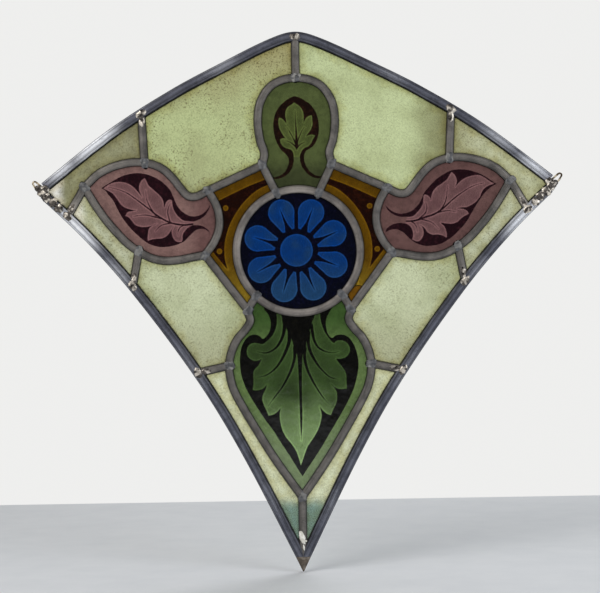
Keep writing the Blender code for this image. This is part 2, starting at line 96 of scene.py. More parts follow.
def smoothLine(points, step):
    knots = [Vector(point) for point in points]
    padded = [2 * knots[0] - knots[1]] + knots + [2 * knots[-1] - knots[-2]]
    slopes = [(after - before).normalized() for before, after in zip(padded, padded[2:])]
    line = [knots[0]]
    for start, end, leave, arrive in zip(knots, knots[1:], slopes, slopes[1:]):
        span = (end - start).length
        count = max(2, ceil(span / step) + 1)
        if len(knots) == 2:
            line += [start.lerp(end, i / (count - 1)) for i in range(1, count)]
        else:
            curve = interpolate_bezier(start, start + span / 3 * leave, end - span / 3 * arrive, end, count)
            line += [Vector(point[:2]) for point in curve[1:]]
    return line


def offsetLine(line, distance):            # to its left
    moved = []
    for i, point in enumerate(line):
        along = line[min(i + 1, len(line) - 1)] - line[max(i - 1, 0)]
        moved.append(point + distance * Vector((-along.y, along.x)).normalized())
    return moved


def pointAtShare(line, share):
    spans = [(end - start).length for start, end in zip(line, line[1:])]
    left = share * sum(spans)
    for start, end, span in zip(line, line[1:], spans):
        if left <= span:
            return start.lerp(end, left / span)
        left -= span
    return line[-1]


def crossing(first, second):
    for a, b in zip(first, first[1:]):
        for c, d in zip(second, second[1:]):
            point = intersect_line_line_2d(a, b, c, d)
            if point is not None:
                return point


def fromFoot(line, corner):                # the part of the line past the corner's perpendicular
    for i, (start, end) in enumerate(zip(line, line[1:])):
        foot, share = intersect_point_line(corner, start, end)
        if share <= 1:
            break
    along = (end - start).normalized()
    return [Vector(foot[:2]) + along * leadwork["gap"] / 2] + line[i + 1:]


def drawLeadwork():
    w = leadwork
    step, half = w["step"], w["borderWidth"] / 2
    rise, drop = w["apexRise"] - w["cornerRise"], w["tipDrop"] + w["cornerRise"]
    top = [(x * w["cornerReach"], w["cornerRise"] + y * rise) for x, y in w["topEdge"]]
    side = [(x * w["cornerReach"], w["cornerRise"] - y * drop) for x, y in w["sideEdge"]]
    over = smoothLine(top + [(-x, y) for x, y in reversed(top[:-1])], step)
    down = smoothLine(side, step)
    corner = crossing(offsetLine(over, 2 * half), offsetLine(down, -2 * half))
    upper = offsetLine(over, half)
    halfTop = fromFoot(upper[:len(upper) // 2 + 1], corner)
    lower = fromFoot(offsetLine(down, -half), corner)
    ringTop, ringSide = (w["ringRadius"] * towards(w[name]) for name in ("lobeFootAngle", "leafRingAngle"))
    joints = {"crest": (halfTop, w["crestJoint"]), "corner": (lower, w["cornerJoint"]),
              "belly": (lower, w["bellyJoint"]), "leaf": (lower, w["leafJoint"])}
    onBorder = {name: pointAtShare(*place) for name, place in joints.items()}
    right = {
        "amber_top": [w["lobeFoot"], w["mauveShoulder"]],
        "lobe_foot": [w["lobeFoot"], ringTop],
        "mauve_upper": [w["mauveShoulder"], *w["mauveUpper"], w["mauveTip"]],
        "mauve_inner": [w["mauveShoulder"], *w["mauveInner"], w["mauveFoot"]],
        "mauve_lower": [w["mauveTip"], *w["mauveLower"], w["mauveFoot"]],
        "leaf": [ringSide, w["leafShoulder"], *w["leafEdge"], w["leafTip"]],
        "amber_lower": [w["mauveFoot"], w["leafShoulder"]],
        "crest": [w["mauveCrest"], onBorder["crest"]],
        "corner": [w["mauveTip"], onBorder["corner"]],
        "belly": [w["mauveBelly"], onBorder["belly"]],
        "leaf_side": [w["leafSide"], onBorder["leaf"]],
    }
    lobe = [w["lobeTop"], *w["lobeSide"], w["lobeFoot"]]
    end = lower[-1] + (lower[-1] - lower[-2]).normalized() * 2 * half
    lines = {
        "border_came_top": halfTop + mirrored(halfTop[-2::-1]),
        "border_came_lower_right": lower + [end],
        "border_came_lower_left": mirrored(lower + [end]),
        "lobe_came": smoothLine(lobe[::-1] + [(-x, y) for x, y in lobe[1:]], step),
        "stem_came": smoothLine([(0, w["apexRise"] - half), w["lobeTop"]], step),
        "tail_came": smoothLine([w["leafTip"], (0, w["tipJoint"] - w["tipDrop"])], step),
    }
    for name, points in right.items():
        lines[name + "_came_right"] = smoothLine(points, step)
        lines[name + "_came_left"] = mirrored(lines[name + "_came_right"])
    turns = ceil(2 * pi * w["ringRadius"] / step)
    lines["ring_came"] = [w["ringRadius"] * towards(2 * pi * i / turns) for i in range(turns + 1)]
    borderJoints = []                      # place and direction
    for line, share in joints.values():
        along = pointAtShare(line, share + 0.01) - pointAtShare(line, share - 0.01)
        borderJoints.append((pointAtShare(line, share), atan2(along.y, along.x)))
    return lines, corner, halfTop, lower, borderJoints, (ringTop, ringSide)


cameLines, innerCorner, halfTop, lowerLine, borderJoints, ringJoints = drawLeadwork()
print("leadwork drawn:", len(cameLines), "lines")


# Distances in the layout, over many spots at once

def asArray(points):
    return np.array([tuple(point)[:2] for point in points], np.float64)


def followLine(spots, line, widths=None):  # nearest distance, and where along and across the line that is
    best, along, across = np.full(len(spots), 1e9), np.zeros(len(spots)), np.zeros(len(spots))
    passed = 0.0
    for i in range(len(line) - 1):
        run = line[i + 1] - line[i]
        length = max(np.hypot(*run), 1e-9)
        share = np.clip(((spots - line[i]) @ run) / length ** 2, 0, 1)
        away = spots - line[i] - share[:, None] * run
        distance = np.hypot(*away.T)
        if widths is not None:
            distance = distance - (widths[i] + share * (widths[i + 1] - widths[i])) / 2
        closer = distance < best
        best[closer] = distance[closer]
        along[closer] = passed + share[closer] * length
        across[closer] = (run[0] * away[closer, 1] - run[1] * away[closer, 0]) / length
        passed += length
    return best, along, across


def shapeDistance(spots, outline):         # negative inside the closed outline
    loop = np.vstack([outline, outline[:1]])
    inside = np.zeros(len(spots), bool)
    for (ax, ay), (bx, by) in zip(loop, loop[1:]):
        if ay != by:
            level = (ay > spots[:, 1]) != (by > spots[:, 1])
            inside ^= level & (spots[:, 0] < (bx - ax) * (spots[:, 1] - ay) / (by - ay) + ax)
    return np.where(inside, -1, 1) * followLine(spots, loop)[0]


def keepAttribute(mesh, name, values):
    layer = mesh.attributes.new(name, "FLOAT", "POINT")
    layer.data.foreach_set("value", np.asarray(values, np.float32))


def flatSpots(mesh):
    spots = np.empty(len(mesh.vertices) * 3, np.float32)
    mesh.vertices.foreach_get("co", spots)
    return spots.reshape(-1, 3).astype(np.float64)


# Shader maths as plain expressions

class Tone:                                # one number in a material
    def __init__(self, finish, socket):
        self.finish, self.socket = finish, socket

    def maths(self, operation, first, second):
        return self.finish.node("ShaderNodeMath", {"operation": operation}, {0: first, 1: second})

    def __add__(self, other):
        return self.maths("ADD", self, other)

    def __sub__(self, other):
        return self.maths("SUBTRACT", self, other)

    def __rsub__(self, other):
        return self.maths("SUBTRACT", other, self)

    def __mul__(self, other):
        return self.maths("MULTIPLY", self, other)

    def size(self):
        return self.finish.node("ShaderNodeMath", {"operation": "ABSOLUTE"}, {0: self})

    __radd__, __rmul__ = __add__, __mul__


class Finish:                              # one material and its nodes
    def __init__(self, name):
        self.material = bpy.data.materials.new(name)
        self.material.use_nodes = True
        self.tree = self.material.node_tree
        self.shader = self.tree.nodes["Principled BSDF"]

    def node(self, kind, settings, sockets, output=0):
        made = self.tree.nodes.new(kind)
        for name, value in settings.items():
            setattr(made, name, value)
        for name, value in sockets.items():
            self.connect(made.inputs[name], value)
        return Tone(self, made.outputs[output])

    def connect(self, socket, value):
        if isinstance(value, Tone):
            self.tree.links.new(value.socket, socket)
        else:
            socket.default_value = value

    def attribute(self, name):
        return self.node("ShaderNodeAttribute", {"attribute_name": name}, {}, "Fac")

    def place(self, stretch=(1, 1, 1), turn=0.0):      # object coordinates in millimetres
        spot = self.node("ShaderNodeTexCoord", {}, {}, "Object")
        return self.node("ShaderNodeMapping", {}, {"Vector": spot, "Rotation": (0, turn, 0),
                                                   "Scale": tuple(1000 * share for share in stretch)})

    def noise(self, size, detail=3.0, place=None, roughness=0.55):
        return self.node("ShaderNodeTexNoise", {}, {"Vector": place or self.place(), "Scale": 1 / size,
                                                    "Detail": detail, "Roughness": roughness})

    def fade(self, value, low, high):      # 0 at low, 1 at high
        return self.node("ShaderNodeMapRange", {"interpolation_type": "SMOOTHSTEP"},
                         {"Value": value, "From Min": low, "From Max": high})

    def blend(self, factor, first, second):
        return self.node("ShaderNodeMix", {"data_type": "RGBA"}, {0: factor, 6: first, 7: second}, 2)

    def shade(self, factor, colour, weight):           # the colour times 1, or times weight where factor is 1
        start = colour if isinstance(colour, Tone) else colour[:3]
        return self.blend(factor, colour, self.node("ShaderNodeVectorMath", {"operation": "SCALE"},
                                                    {0: start, "Scale": weight}))

    def bump(self, height, distance):
        return self.node("ShaderNodeBump", {}, {"Strength": 1.0, "Distance": distance * mm, "Height": height})

    def feed(self, **sockets):
        for name, value in sockets.items():
            self.connect(self.shader.inputs[name.replace("_", " ")], value)


def linear(level):
    level /= 255
    return level / 12.92 if level <= 0.04045 else ((level + 0.055) / 1.055) ** 2.4


def plain(red, green, blue):               # a surface's colour from its shade on screen
    return (linear(red), linear(green), linear(blue), 1.0)


# Lead: drawn came, soldered joints and the wire loops

leadFinishes = {                           # lines: painted bands of highlight and shade along the came, as middle across it, half width and shade
    "came_lead": {"dark": (66, 64, 62), "light": (108, 104, 100), "shine": (160, 155, 146), "half": 3.1,
                  "metallic": 0.35, "rough": (0.62, 0.42), "streak": 0.35,
                  "lines": [(0.7, 1.5, 1.25), (-2.3, 0.9, 0.72)]},
    # the ring's lead is the came lead painted lighter, for the extra light it catches
    "ring_lead": {"dark": (80, 76, 74), "light": (122, 116, 111), "shine": (160, 153, 146), "half": 3.1,
                  "metallic": 0.3, "rough": (0.6, 0.42), "streak": 0.3,
                  "lines": [(1.2, 1.4, 1.22), (-2.2, 0.7, 0.66)]},
    "border_lead": {"dark": (58, 60, 70), "light": (98, 100, 112), "shine": (222, 225, 232), "half": 4.0,
                    "metallic": 0.45, "rough": (0.5, 0.32), "streak": 0.45,
                    "lines": [(-3.9, 1.25, 0.05), (-1.5, 0.6, 0.62), (0.7, 1.1, 1.4), (2.5, 0.5, 0.6),
                              (3.95, 0.4, 0.45)]},
}


def leadFinish(name, settings):
    finish = Finish(name)
    along, across = finish.attribute("along"), finish.attribute("across")
    drawn = finish.node("ShaderNodeCombineXYZ", {}, {0: along * 0.04, 1: across * 1.4, 2: 0.0})
    streak = finish.noise(1.0, 4.0, drawn)
    patina = finish.noise(9.0, 5.0)
    grit = finish.noise(0.7, 3.0)
    tone = finish.fade(streak * settings["streak"] + patina * (1 - settings["streak"]) + grit * 0.25, 0.42, 0.78)
    colour = finish.blend(tone, plain(*settings["dark"]), plain(*settings["light"]))
    # painted reflections: the lead turns towards its reflection colour where their strength is high
    shine = finish.fade(finish.attribute("shine") + streak * 0.3 + grit * 0.15, 0.35, 1.05)
    colour = finish.blend(shine, colour, plain(*settings["shine"]))
    edge = finish.fade(across.size() + grit * 0.5, settings["half"] - 0.55, settings["half"] + 0.25)
    colour = finish.shade(edge, colour, 0.45)
    # painted highlight down the came's middle and painted shade at its sides; the near-black band at the border's
    # inner edge is partly cement, partly painted shade
    for middle, width, weight in settings["lines"]:    # outwards is positive on the border
        line = finish.fade((across + (patina - 0.5) * 0.8 - middle).size(), width, width * 0.4)
        colour = finish.shade(line, colour, weight)
    pits = finish.fade(finish.noise(2.2, 2.0), 0.62, 0.72)
    colour = finish.shade(pits * 0.7, colour, 0.5)
    fleck = finish.fade(finish.noise(1.1, 2.0), 0.6, 0.72)
    colour = finish.shade(fleck * 0.6, colour, 1.5)
    low, high = settings["rough"]
    height = streak * 0.4 + grit * 0.35 + patina * 0.6
    finish.feed(Base_Color=colour, Metallic=settings["metallic"], Roughness=low + (high - low) * tone,
                Normal=finish.bump(height, 0.25))
    return finish.material


# the brightest colour of each is that of the painted glints, and the last number the strength of the painted crevice
# shade
solderFinishes = {
    "dull solder": {"dark": (68, 69, 72), "light": (112, 113, 116), "bright": (170, 168, 162), "metallic": 0.3,
                    "rough": 0.42, "creviceShade": 0.5},
    "bright solder": {"dark": (54, 50, 48), "light": (122, 115, 108), "bright": (240, 231, 217), "metallic": 0.6,
                      "rough": 0.26, "creviceShade": 0.5},
    "tinned wire": {"dark": (50, 40, 32), "light": (124, 106, 80), "bright": (238, 222, 190), "metallic": 0.6,
                    "rough": 0.24, "creviceShade": 0.6},
    "tip lead": {"dark": (72, 63, 55), "light": (108, 97, 86), "bright": (180, 170, 158), "metallic": 0.25,
                 "rough": 0.5, "creviceShade": 0.5},
    # a flat solder dab, coloured white as its painted highlight
    "white filler": {"dark": (206, 203, 193), "light": (232, 230, 222), "bright": (240, 238, 232), "metallic": 0.0,
                     "rough": 0.6, "creviceShade": 0.15},
}


def solderFinish(name, settings):
    finish = Finish(name)
    lump = finish.noise(3.6, 2.0)
    grain = finish.noise(0.6, 3.0)
    tone = finish.fade(lump + grain * 0.4, 0.5, 0.95)
    colour = finish.blend(tone, plain(*settings["dark"]), plain(*settings["light"]))
    # painted glints: noise spots blended towards the brightest colour
    paintedGlint = finish.fade(finish.noise(4.2, 1.0) + grain * 0.1, 0.52, 0.66)
    colour = finish.blend(finish.attribute("shine") * paintedGlint, colour, plain(*settings["bright"]))
    # painted shade of crevices: darker spots at random
    creviceShade = finish.fade(finish.noise(3.8, 2.0), 0.54, 0.68)
    colour = finish.shade(creviceShade * settings["creviceShade"], colour, 0.35)
    finish.feed(Base_Color=colour, Metallic=settings["metallic"], Roughness=settings["rough"] + 0.2 * tone,
                Normal=finish.bump(lump + grain * 0.06, 0.6))
    return finish.material


leadMaterials = {name: leadFinish(name, settings) for name, settings in leadFinishes.items()}
solderMaterials = {name: solderFinish(name, settings) for name, settings in solderFinishes.items()}

# painted reflections on the lead: place, reach and strength
paintedReflectionSpots = [(-165, 92, 34, 0.75), (-190, 70, 22, 0.6), (-178, 20, 32, 0.8), (-150, -20, 26, 0.45),
               (165, 92, 30, 0.45), (188, 62, 24, 0.6), (182, 22, 30, 0.7), (150, -22, 26, 0.35),
               (-60, 154, 30, 0.35), (80, 146, 30, 0.3), (-95, -100, 40, 0.3), (95, -100, 40, 0.3),
               (-30, -200, 34, 0.25), (28, -204, 34, 0.25), (0, 50, 22, 0.5), (0, -50, 26, 0.4),
               (-50, 8, 30, 0.4)]


def paintedReflection(spots):
    total = np.zeros(len(spots))
    for x, y, reach, strength in paintedReflectionSpots:
        away = np.hypot(spots[:, 0] - x, spots[:, 1] - y) / reach
        total = np.maximum(total, strength * np.exp(-away ** 2 * 1.5))
    return total


# the same strength of painted glint over a whole piece
def evenPaintedShine(mesh, level):
    keepAttribute(mesh, "shine", np.full(len(mesh.vertices), level))


def deselectAll():
    for item in bpy.context.selected_objects:
        item.select_set(False)


def onlySelect(item):
    deselectAll()
    item.select_set(True)
    bpy.context.view_layer.objects.active = item


def addCurve(points, cyclic=False, flat=False):
    deselectAll()
    bpy.ops.curve.primitive_bezier_curve_add()
    curve = bpy.context.object
    curve.data.splines.clear()
    curve.data.dimensions = "2D" if flat else "3D"
    curve.data.twist_mode = "Z_UP"
    curve.data.fill_mode = "NONE" if flat else "FULL"
    spline = curve.data.splines.new("POLY")
    spline.points.add(len(points) - 1)
    for knot, point in zip(spline.points, points):
        knot.co = (*point, 1.0) if len(point) == 3 else (*point, 0.0, 1.0)
    spline.use_cyclic_u = cyclic
    return curve


def closeMesh(item):                       # merged doubles, faces outwards
    onlySelect(item)
    bpy.ops.object.mode_set(mode="EDIT")
    bpy.ops.mesh.select_all(action="SELECT")
    bpy.ops.mesh.remove_doubles(threshold=0.001)
    bpy.ops.mesh.normals_make_consistent(inside=False)
    bpy.ops.object.mode_set(mode="OBJECT")


def finishPiece(item, name, material, slot, *nodes, angle=50):
    item.data.transform(toWorld)
    item.name = name
    item.data.name = name
    item.data.materials.clear()
    item.data.materials.append(material)
    onlySelect(item)
    bpy.ops.object.shade_smooth_by_angle(angle=radians(angle))
    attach(item, "root")
    if nodes:
        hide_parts(*nodes)


def quarterSection(shoulders):             # an H-section from one flange's outline
    w = leadwork
    quarter = shoulders + [(w["heart"] / 2, w["halfChannel"])]
    right = quarter + [(x, -y) for x, y in reversed(quarter)]
    return right + [(-x, y) for x, y in reversed(right)]


def cameSections():
    w = leadwork
    rise, half = w["halfCame"] - w["halfChannel"], w["cameWidth"] / 2
    arch = [(half * sin(turn), w["halfChannel"] + rise * cos(turn) ** 0.8) for turn in w["archTurns"]]
    arch.append((half, w["halfChannel"] + 0.02))
    return quarterSection(arch), quarterSection([*w["borderFace"], (w["borderWidth"] / 2, w["halfChannel"])])


roundSection, borderSection = cameSections()


def drawCame(node, line):
    border, ring = node.startswith("border"), node == "ring_came"
    profile = addCurve(borderSection if border else roundSection, True, True)
    lead = addCurve(line[:-1] if ring else line, ring)
    lead.data.bevel_mode = "OBJECT"
    lead.data.bevel_object = profile
    lead.data.use_fill_caps = not ring
    onlySelect(lead)
    bpy.ops.object.convert(target="MESH")
    lead = bpy.context.object
    bpy.data.objects.remove(profile)
    closeMesh(lead)
    if "lower" in node and border:         # the two sides meet on the middle line
        bpy.ops.object.mode_set(mode="EDIT")
        bpy.ops.mesh.select_all(action="SELECT")
        side = 1 if node.endswith("right") else -1
        bpy.ops.mesh.bisect(plane_co=(side * leadwork["gap"] / 2, 0, 0), plane_no=(side, 0, 0), use_fill=True,
                            clear_inner=True)
        bpy.ops.object.mode_set(mode="OBJECT")
    mesh = lead.data
    spots = flatSpots(mesh)
    away, along, across = followLine(spots[:, :2], asArray(line))
    keepAttribute(mesh, "along", along + leadwork["patternShift"] * len(node))
    keepAttribute(mesh, "across", across * (-1 if node in ("border_came_top", "border_came_lower_left") else 1))
    # strength of the painted reflections on this came
    keepAttribute(mesh, "shine", paintedReflection(spots[:, :2]))
    for vertex in mesh.vertices:           # the slight dents of handling, on the faces
        if abs(vertex.co.z) > 2:
            dent = 0.5 + 0.5 * noise.noise(vertex.co * leadwork["dentScale"])
            vertex.co.z -= copysign(leadwork["dentDepth"], vertex.co.z) * dent
    material = leadMaterials["border_lead" if border else "ring_lead" if ring else "came_lead"]
    finishPiece(lead, node.replace("came", "lead"), material, "border_lead" if border else "came_lead", node)


for node, line in cameLines.items():
    drawCame(node, line)
print("cames drawn")


# Solder on the joints, in front and behind

solderJoints = {
    "inner": {"half": (4.7, 3.6), "rise": 0.32, "finish": "dull solder"},
    "smear": {"half": (5.4, 2.4), "rise": 0.22, "finish": "bright solder"},
    "border": {"half": (4.8, 3.1), "rise": 0.7, "finish": "bright solder"},
    "smearPlace": 6.5,         # along the short cames from the border
    "sunk": 0.9,
    "onBorder": [("crest", 0.9), ("corner", 1.0), ("belly", 0.8), ("leaf_side", 0.7)],     # came and strength of the painted glint
    "onInner": [("lobeFoot", 1.2, 0.1), ("mauveShoulder", -0.3, 0.15), ("mauveTip", 0.6, 0.2),
                ("mauveFoot", -0.8, 0.3), ("leafShoulder", -1.0, 0.1), ("mauveCrest", 1.5, 0.35),
                ("mauveBelly", 1.5, 0.3), ("leafSide", 0.2, 0.5)],                         # place, turn and strength of the painted glint
}


def addLump(place, angle, half, deep, low, shine, seed, rough=0.2, segments=28, full=1.0):
    deselectAll()
    bpy.ops.mesh.primitive_uv_sphere_add(segments=segments, ring_count=segments // 2, radius=1.0)
    lump = bpy.context.object
    for vertex in lump.data.vertices:
        push = 1 + rough * noise.noise(vertex.co * 1.7 + Vector((seed, 0, 0)))
        push += rough * 0.3 * noise.noise(vertex.co * 3.4 + Vector((0, seed, 0)))
        uneven = 1 + 0.4 * (push - 1) / full ** 2
        height = max(-1.0, min(1.0, tanh(full * vertex.co.z) / tanh(full) * uneven))
        vertex.co = Vector((vertex.co.x * half[0] * push, vertex.co.y * half[1] * push, low + deep * height))
    lump.data.transform(Matrix.Translation((place[0], place[1], 0)) @ Matrix.Rotation(angle, 4, "Z"))
    evenPaintedShine(lump.data, shine)
    return lump


def joinSolder(lumps, name, finish, *nodes):
    deselectAll()
    for lump in lumps:
        lump.select_set(True)
    bpy.context.view_layer.objects.active = lumps[0]
    bpy.ops.object.join()
    solder = bpy.context.object
    closeMesh(solder)
    finishPiece(solder, name, solderMaterials[finish], "solder", *nodes, angle=60)


def solderPlaces():
    w = leadwork
    ringTop, ringSide = ringJoints
    joints = []
    for name, angle, shine in solderJoints["onInner"]:
        x, y = w[name]
        joints += [((x, y), angle, "inner", shine), ((-x, y), pi - angle, "inner", shine * 1.3)]
    for x, y, angle, shine in ((*ringTop, 1.2, 0.1), (*ringSide, -0.8, 0.05)):
        joints += [((x, y), angle, "inner", shine), ((-x, y), pi - angle, "inner", shine)]
    joints += [(w["lobeTop"], 0.0, "inner", 0.7), (w["leafTip"], 1.57, "inner", 0.3),
               ((0, w["apexRise"] - w["borderWidth"] / 2), 0.0, "border", 1.0)]
    for (place, angle), (came, shine) in zip(borderJoints, solderJoints["onBorder"]):
        line = cameLines[came + "_came_right"]
        run = (line[0] - line[-1]).normalized()
        smear = line[-1] + run * solderJoints["smearPlace"]
        for spot, turn, kind in ((place, angle, "border"), (smear, atan2(run.y, run.x), "smear")):
            joints += [(spot, turn, kind, shine), ((-spot.x, spot.y), pi - turn, kind, shine)]
    return joints


def addSolder(name, finish):
    lumps, sunk = [], solderJoints["sunk"]
    root = leadwork["halfCame"] - sunk
    for number, (place, angle, kind, shine) in enumerate(solderPlaces()):
        settings = solderJoints[kind]
        if settings["finish"] != finish:
            continue
        for face in (1, -1):
            lump = addLump(place, angle, settings["half"], 1.0, 0.0, shine, number * 3.1 + face, 0.3)
            for vertex in lump.data.vertices:
                height = root + (settings["rise"] + sunk) * min(1.0, vertex.co.z)
                vertex.co.z = face * (height if vertex.co.z > 0 else root)
            lumps.append(lump)
    joinSolder(lumps, name, finish)


addSolder("solder_inner", "dull solder")
addSolder("solder_border", "bright solder")

wireLoops = {
    "radius": 0.75, "start": radians(32), "end": radians(-20), "hold": 2.3, "sides": 16, "uneven": 0.22,
    "bend": [(8.2, 6.6), (10.3, 7.9), (11.9, 6.9), (10.9, 4.3), (8.6, 1.4)],   # from the border's inner corner
    "beads": {                 # down the lower border, inwards from it, and half sizes of the solder's beads
        "left": [(-6.4, 0.8, 3.4, 2.9), (-2.4, 0.4, 3.9, 3.8), (-2.6, 4.6, 3.2, 2.6), (3.0, -0.2, 4.3, 4.0),
                 (9.4, 0.3, 4.3, 3.8), (15.6, 0.0, 4.2, 3.9)],
        "right": [(-4.6, 0.2, 3.0, 2.6), (-1.0, 0.3, 3.9, 3.8), (-2.4, 4.6, 3.2, 2.6), (4.6, -0.1, 4.4, 4.0),
                  (11.0, 0.3, 4.2, 3.8), (16.8, 0.0, 4.0, 3.9)]},
    "beadDepth": 3.95, "beadFull": 2.4, "beadSides": 36,
}


def addCorner(side):
    w = wireLoops
    leave = [(line[0] - line[1]).normalized() for line in (halfTop, lowerLine)]
    middle = (leave[0] + leave[1]).normalized()
    heart = innerCorner + 0.2 * middle
    line = smoothLine([heart + w["hold"] * towards(w["start"]), *(innerCorner + Vector(p) for p in w["bend"]),
                       heart + w["hold"] * towards(w["end"])], 0.5)
    flip = 1 if side == "right" else -1
    wire = addCurve([(flip * x, y) for x, y in line])
    wire.data.bevel_depth = w["radius"]
    wire.data.bevel_resolution = w["sides"] // 4
    wire.data.use_fill_caps = True
    onlySelect(wire)
    bpy.ops.object.convert(target="MESH")
    wire = bpy.context.object
    closeMesh(wire)
    for vertex in wire.data.vertices:
        push = w["uneven"] * noise.noise(vertex.co * 0.9)
        vertex.co.y += push
        vertex.co.z += push
    evenPaintedShine(wire.data, 0.8)
    finishPiece(wire, "wire_loop_" + side, solderMaterials["tinned wire"], "wire", "hanging_loop_" + side, angle=60)
    lumps = []
    inward = Vector((leave[1].y, -leave[1].x))
    for number, (down, aside, long, wide) in enumerate(w["beads"][side]):
        x, y = lowerLine[0] + down * leave[1] + aside * inward
        lumps.append(addLump((flip * x, y), flip * atan2(leave[1].y, leave[1].x), (long, wide), w["beadDepth"], 0.0,
                             1.0, number * 2.3 + flip, 0.3, w["beadSides"], w["beadFull"]))
    joinSolder(lumps, "corner_lump_" + side, "bright solder", "corner_solder_" + side)


addCorner("right")
addCorner("left")

tipCap = {
    "top": -244.2, "bottom": -256.0, "halfTop": 6.0, "halfBottom": 0.4, "halfDeep": 3.62, "rounding": 0.6,
    "uneven": 0.12, "dabLow": 3.1,
    "dabs": [((-0.6, -228.8), -74, (5.0, 2.2), 0.8, 4.0),                  # place, turn, half sizes, height and seed
             ((0.6, -236.8), -80, (2.4, 0.7), 0.5, 8.0), ((2.5, -231.6), -60, (0.9, 0.7), 0.4, 6.0)],
}


def addTipCap():
    w = tipCap
    deselectAll()
    bpy.ops.mesh.primitive_cube_add(size=2)
    cap = bpy.context.object
    for vertex in cap.data.vertices:
        x, y, z = vertex.co
        half = w["halfTop"] if y > 0 else w["halfBottom"]
        vertex.co = (x * half, w["top"] if y > 0 else w["bottom"], z * w["halfDeep"])
    bpy.ops.object.mode_set(mode="EDIT")
    bpy.ops.mesh.select_all(action="SELECT")
    bpy.ops.mesh.bevel(offset=w["rounding"], segments=3, affect="EDGES")
    bpy.ops.mesh.subdivide(number_cuts=3)
    bpy.ops.object.mode_set(mode="OBJECT")
    for vertex in cap.data.vertices:
        vertex.co.z += w["uneven"] * noise.noise(vertex.co * 0.5)
    evenPaintedShine(cap.data, 0.25)
    closeMesh(cap)
    finishPiece(cap, "tip_cap", solderMaterials["tip lead"], "solder", angle=40)
    # a flat solder dab by the tip, coloured white as a painted highlight
    dabs = [addLump(place, radians(turn), half, deep, w["dabLow"], 1.0, seed, 0.35)
            for place, turn, half, deep, seed in w["dabs"]]
    joinSolder(dabs, "white_dab", "white filler")


addTipCap()
print("solder and wire loops made")


# Painted outlines. A plan says where its origin lies on the main drawing, and how many of its units make one there.

drawing = {                                # millimetres a unit, then the layout's origin and tilt
    "unit": 0.8, "middle": 298.4, "level": 251, "lean": 0.01635,
}


def onPlan(plan, point):
    (left, top), scale = plan
    u = (left + point[0] / scale - drawing["middle"]) * drawing["unit"]
    v = (drawing["level"] - top - point[1] / scale) * drawing["unit"]
    return Vector((u + drawing["lean"] * v, v - drawing["lean"] * u))


def planShape(plan, runs):                 # a closed outline, smooth along each run and sharp between runs
    outline, start = [], runs[-1][-1]
    for run in runs:
        outline += smoothLine([onPlan(plan, point) for point in [start, *run]], 0.9)[:-1]
        start = run[-1]
    return asArray(outline)


def planStroke(plan, points, widths):      # a tapering brush line
    knots = [onPlan(plan, point) for point in points]
    line = smoothLine(knots, 0.9)
    if len(widths) == 2:
        widths = np.linspace(widths[0], widths[1], len(knots))
    lengths = [np.concatenate([[0], np.cumsum([(b - a).length for a, b in zip(row, row[1:])])])
               for row in (knots, line)]
    shares = [length / length[-1] for length in lengths]
    return asArray(line), np.interp(shares[1], shares[0], np.array(widths) * drawing["unit"] / plan[1])


mauveLeft = {
    "plan": ((80, 150), 10.4533),
    "field": [
        [(262, 375), (320, 340), (390, 300), (450, 272), (520, 252), (600, 243), (680, 252), (760, 278), (840, 320),
         (905, 375), (950, 430), (972, 480), (985, 510), (1010, 570), (1045, 620), (1090, 660), (1150, 690),
         (1200, 695), (1260, 680), (1310, 645), (1345, 605), (1360, 572)],
        [(1362, 590), (1330, 655), (1285, 705), (1230, 735), (1190, 748)],
        [(1190, 785)],
        [(1230, 785), (1290, 800), (1340, 835), (1375, 890)],
        [(1340, 850), (1300, 828), (1255, 825), (1210, 840), (1170, 875), (1130, 915), (1090, 955), (1030, 985),
         (960, 1005), (880, 1015), (800, 1008), (720, 980), (650, 930), (560, 850), (490, 770), (440, 700),
         (390, 610), (350, 530), (300, 470), (265, 425), (225, 402)]],
    "leaf": [
        [(1200, 748), (1150, 745), (1090, 738), (1040, 705), (1000, 655), (975, 600), (965, 540), (962, 525)],
        [(935, 520), (905, 540), (890, 575), (888, 600)],
        [(880, 590), (875, 540), (850, 490), (810, 450), (770, 415), (720, 370), (695, 320), (678, 293)],
        [(640, 325), (620, 370), (620, 420), (640, 470), (652, 492)],
        [(610, 440), (575, 400), (530, 365), (470, 340), (410, 333), (350, 342), (300, 365), (262, 390), (243, 403)],
        [(290, 425), (340, 455), (380, 500), (410, 545), (450, 590), (500, 615), (550, 628), (590, 630)],
        [(540, 640), (500, 650), (480, 680), (472, 690)],
        [(510, 705), (545, 745), (580, 785), (640, 805), (700, 805), (760, 790), (805, 772)],
        [(750, 795), (720, 830), (712, 880), (708, 930), (712, 952)],
        [(740, 940), (800, 930), (860, 925), (910, 900), (950, 850), (980, 800)],
        [(960, 840), (962, 880), (980, 930), (1010, 958), (1060, 965)],
        [(1075, 940), (1075, 900), (1090, 860), (1130, 815), (1175, 790), (1250, 785)],
        [(1250, 748)]],
    "veins": [
        ([(1180, 775), (1100, 785), (1040, 780), (960, 765), (880, 730), (800, 680), (740, 630), (660, 570),
          (580, 510), (500, 455), (420, 420), (340, 398), (300, 390)],
         (15, 16, 16, 16, 16, 15, 13, 11, 10, 8, 6, 4, 3)),
        ([(800, 690), (760, 640), (725, 580), (700, 520), (692, 460), (688, 425)], (14, 3)),
        ([(950, 765), (930, 710), (920, 660), (925, 610), (945, 560)], (12, 3)),
        ([(860, 720), (780, 700), (700, 682), (640, 683), (590, 690), (562, 695)], (12, 3)),
        ([(960, 765), (900, 775), (850, 790), (815, 820), (790, 850)], (12, 3)),
        ([(1090, 785), (1060, 800), (1035, 830), (1025, 870), (1028, 900)], (12, 3))],
}
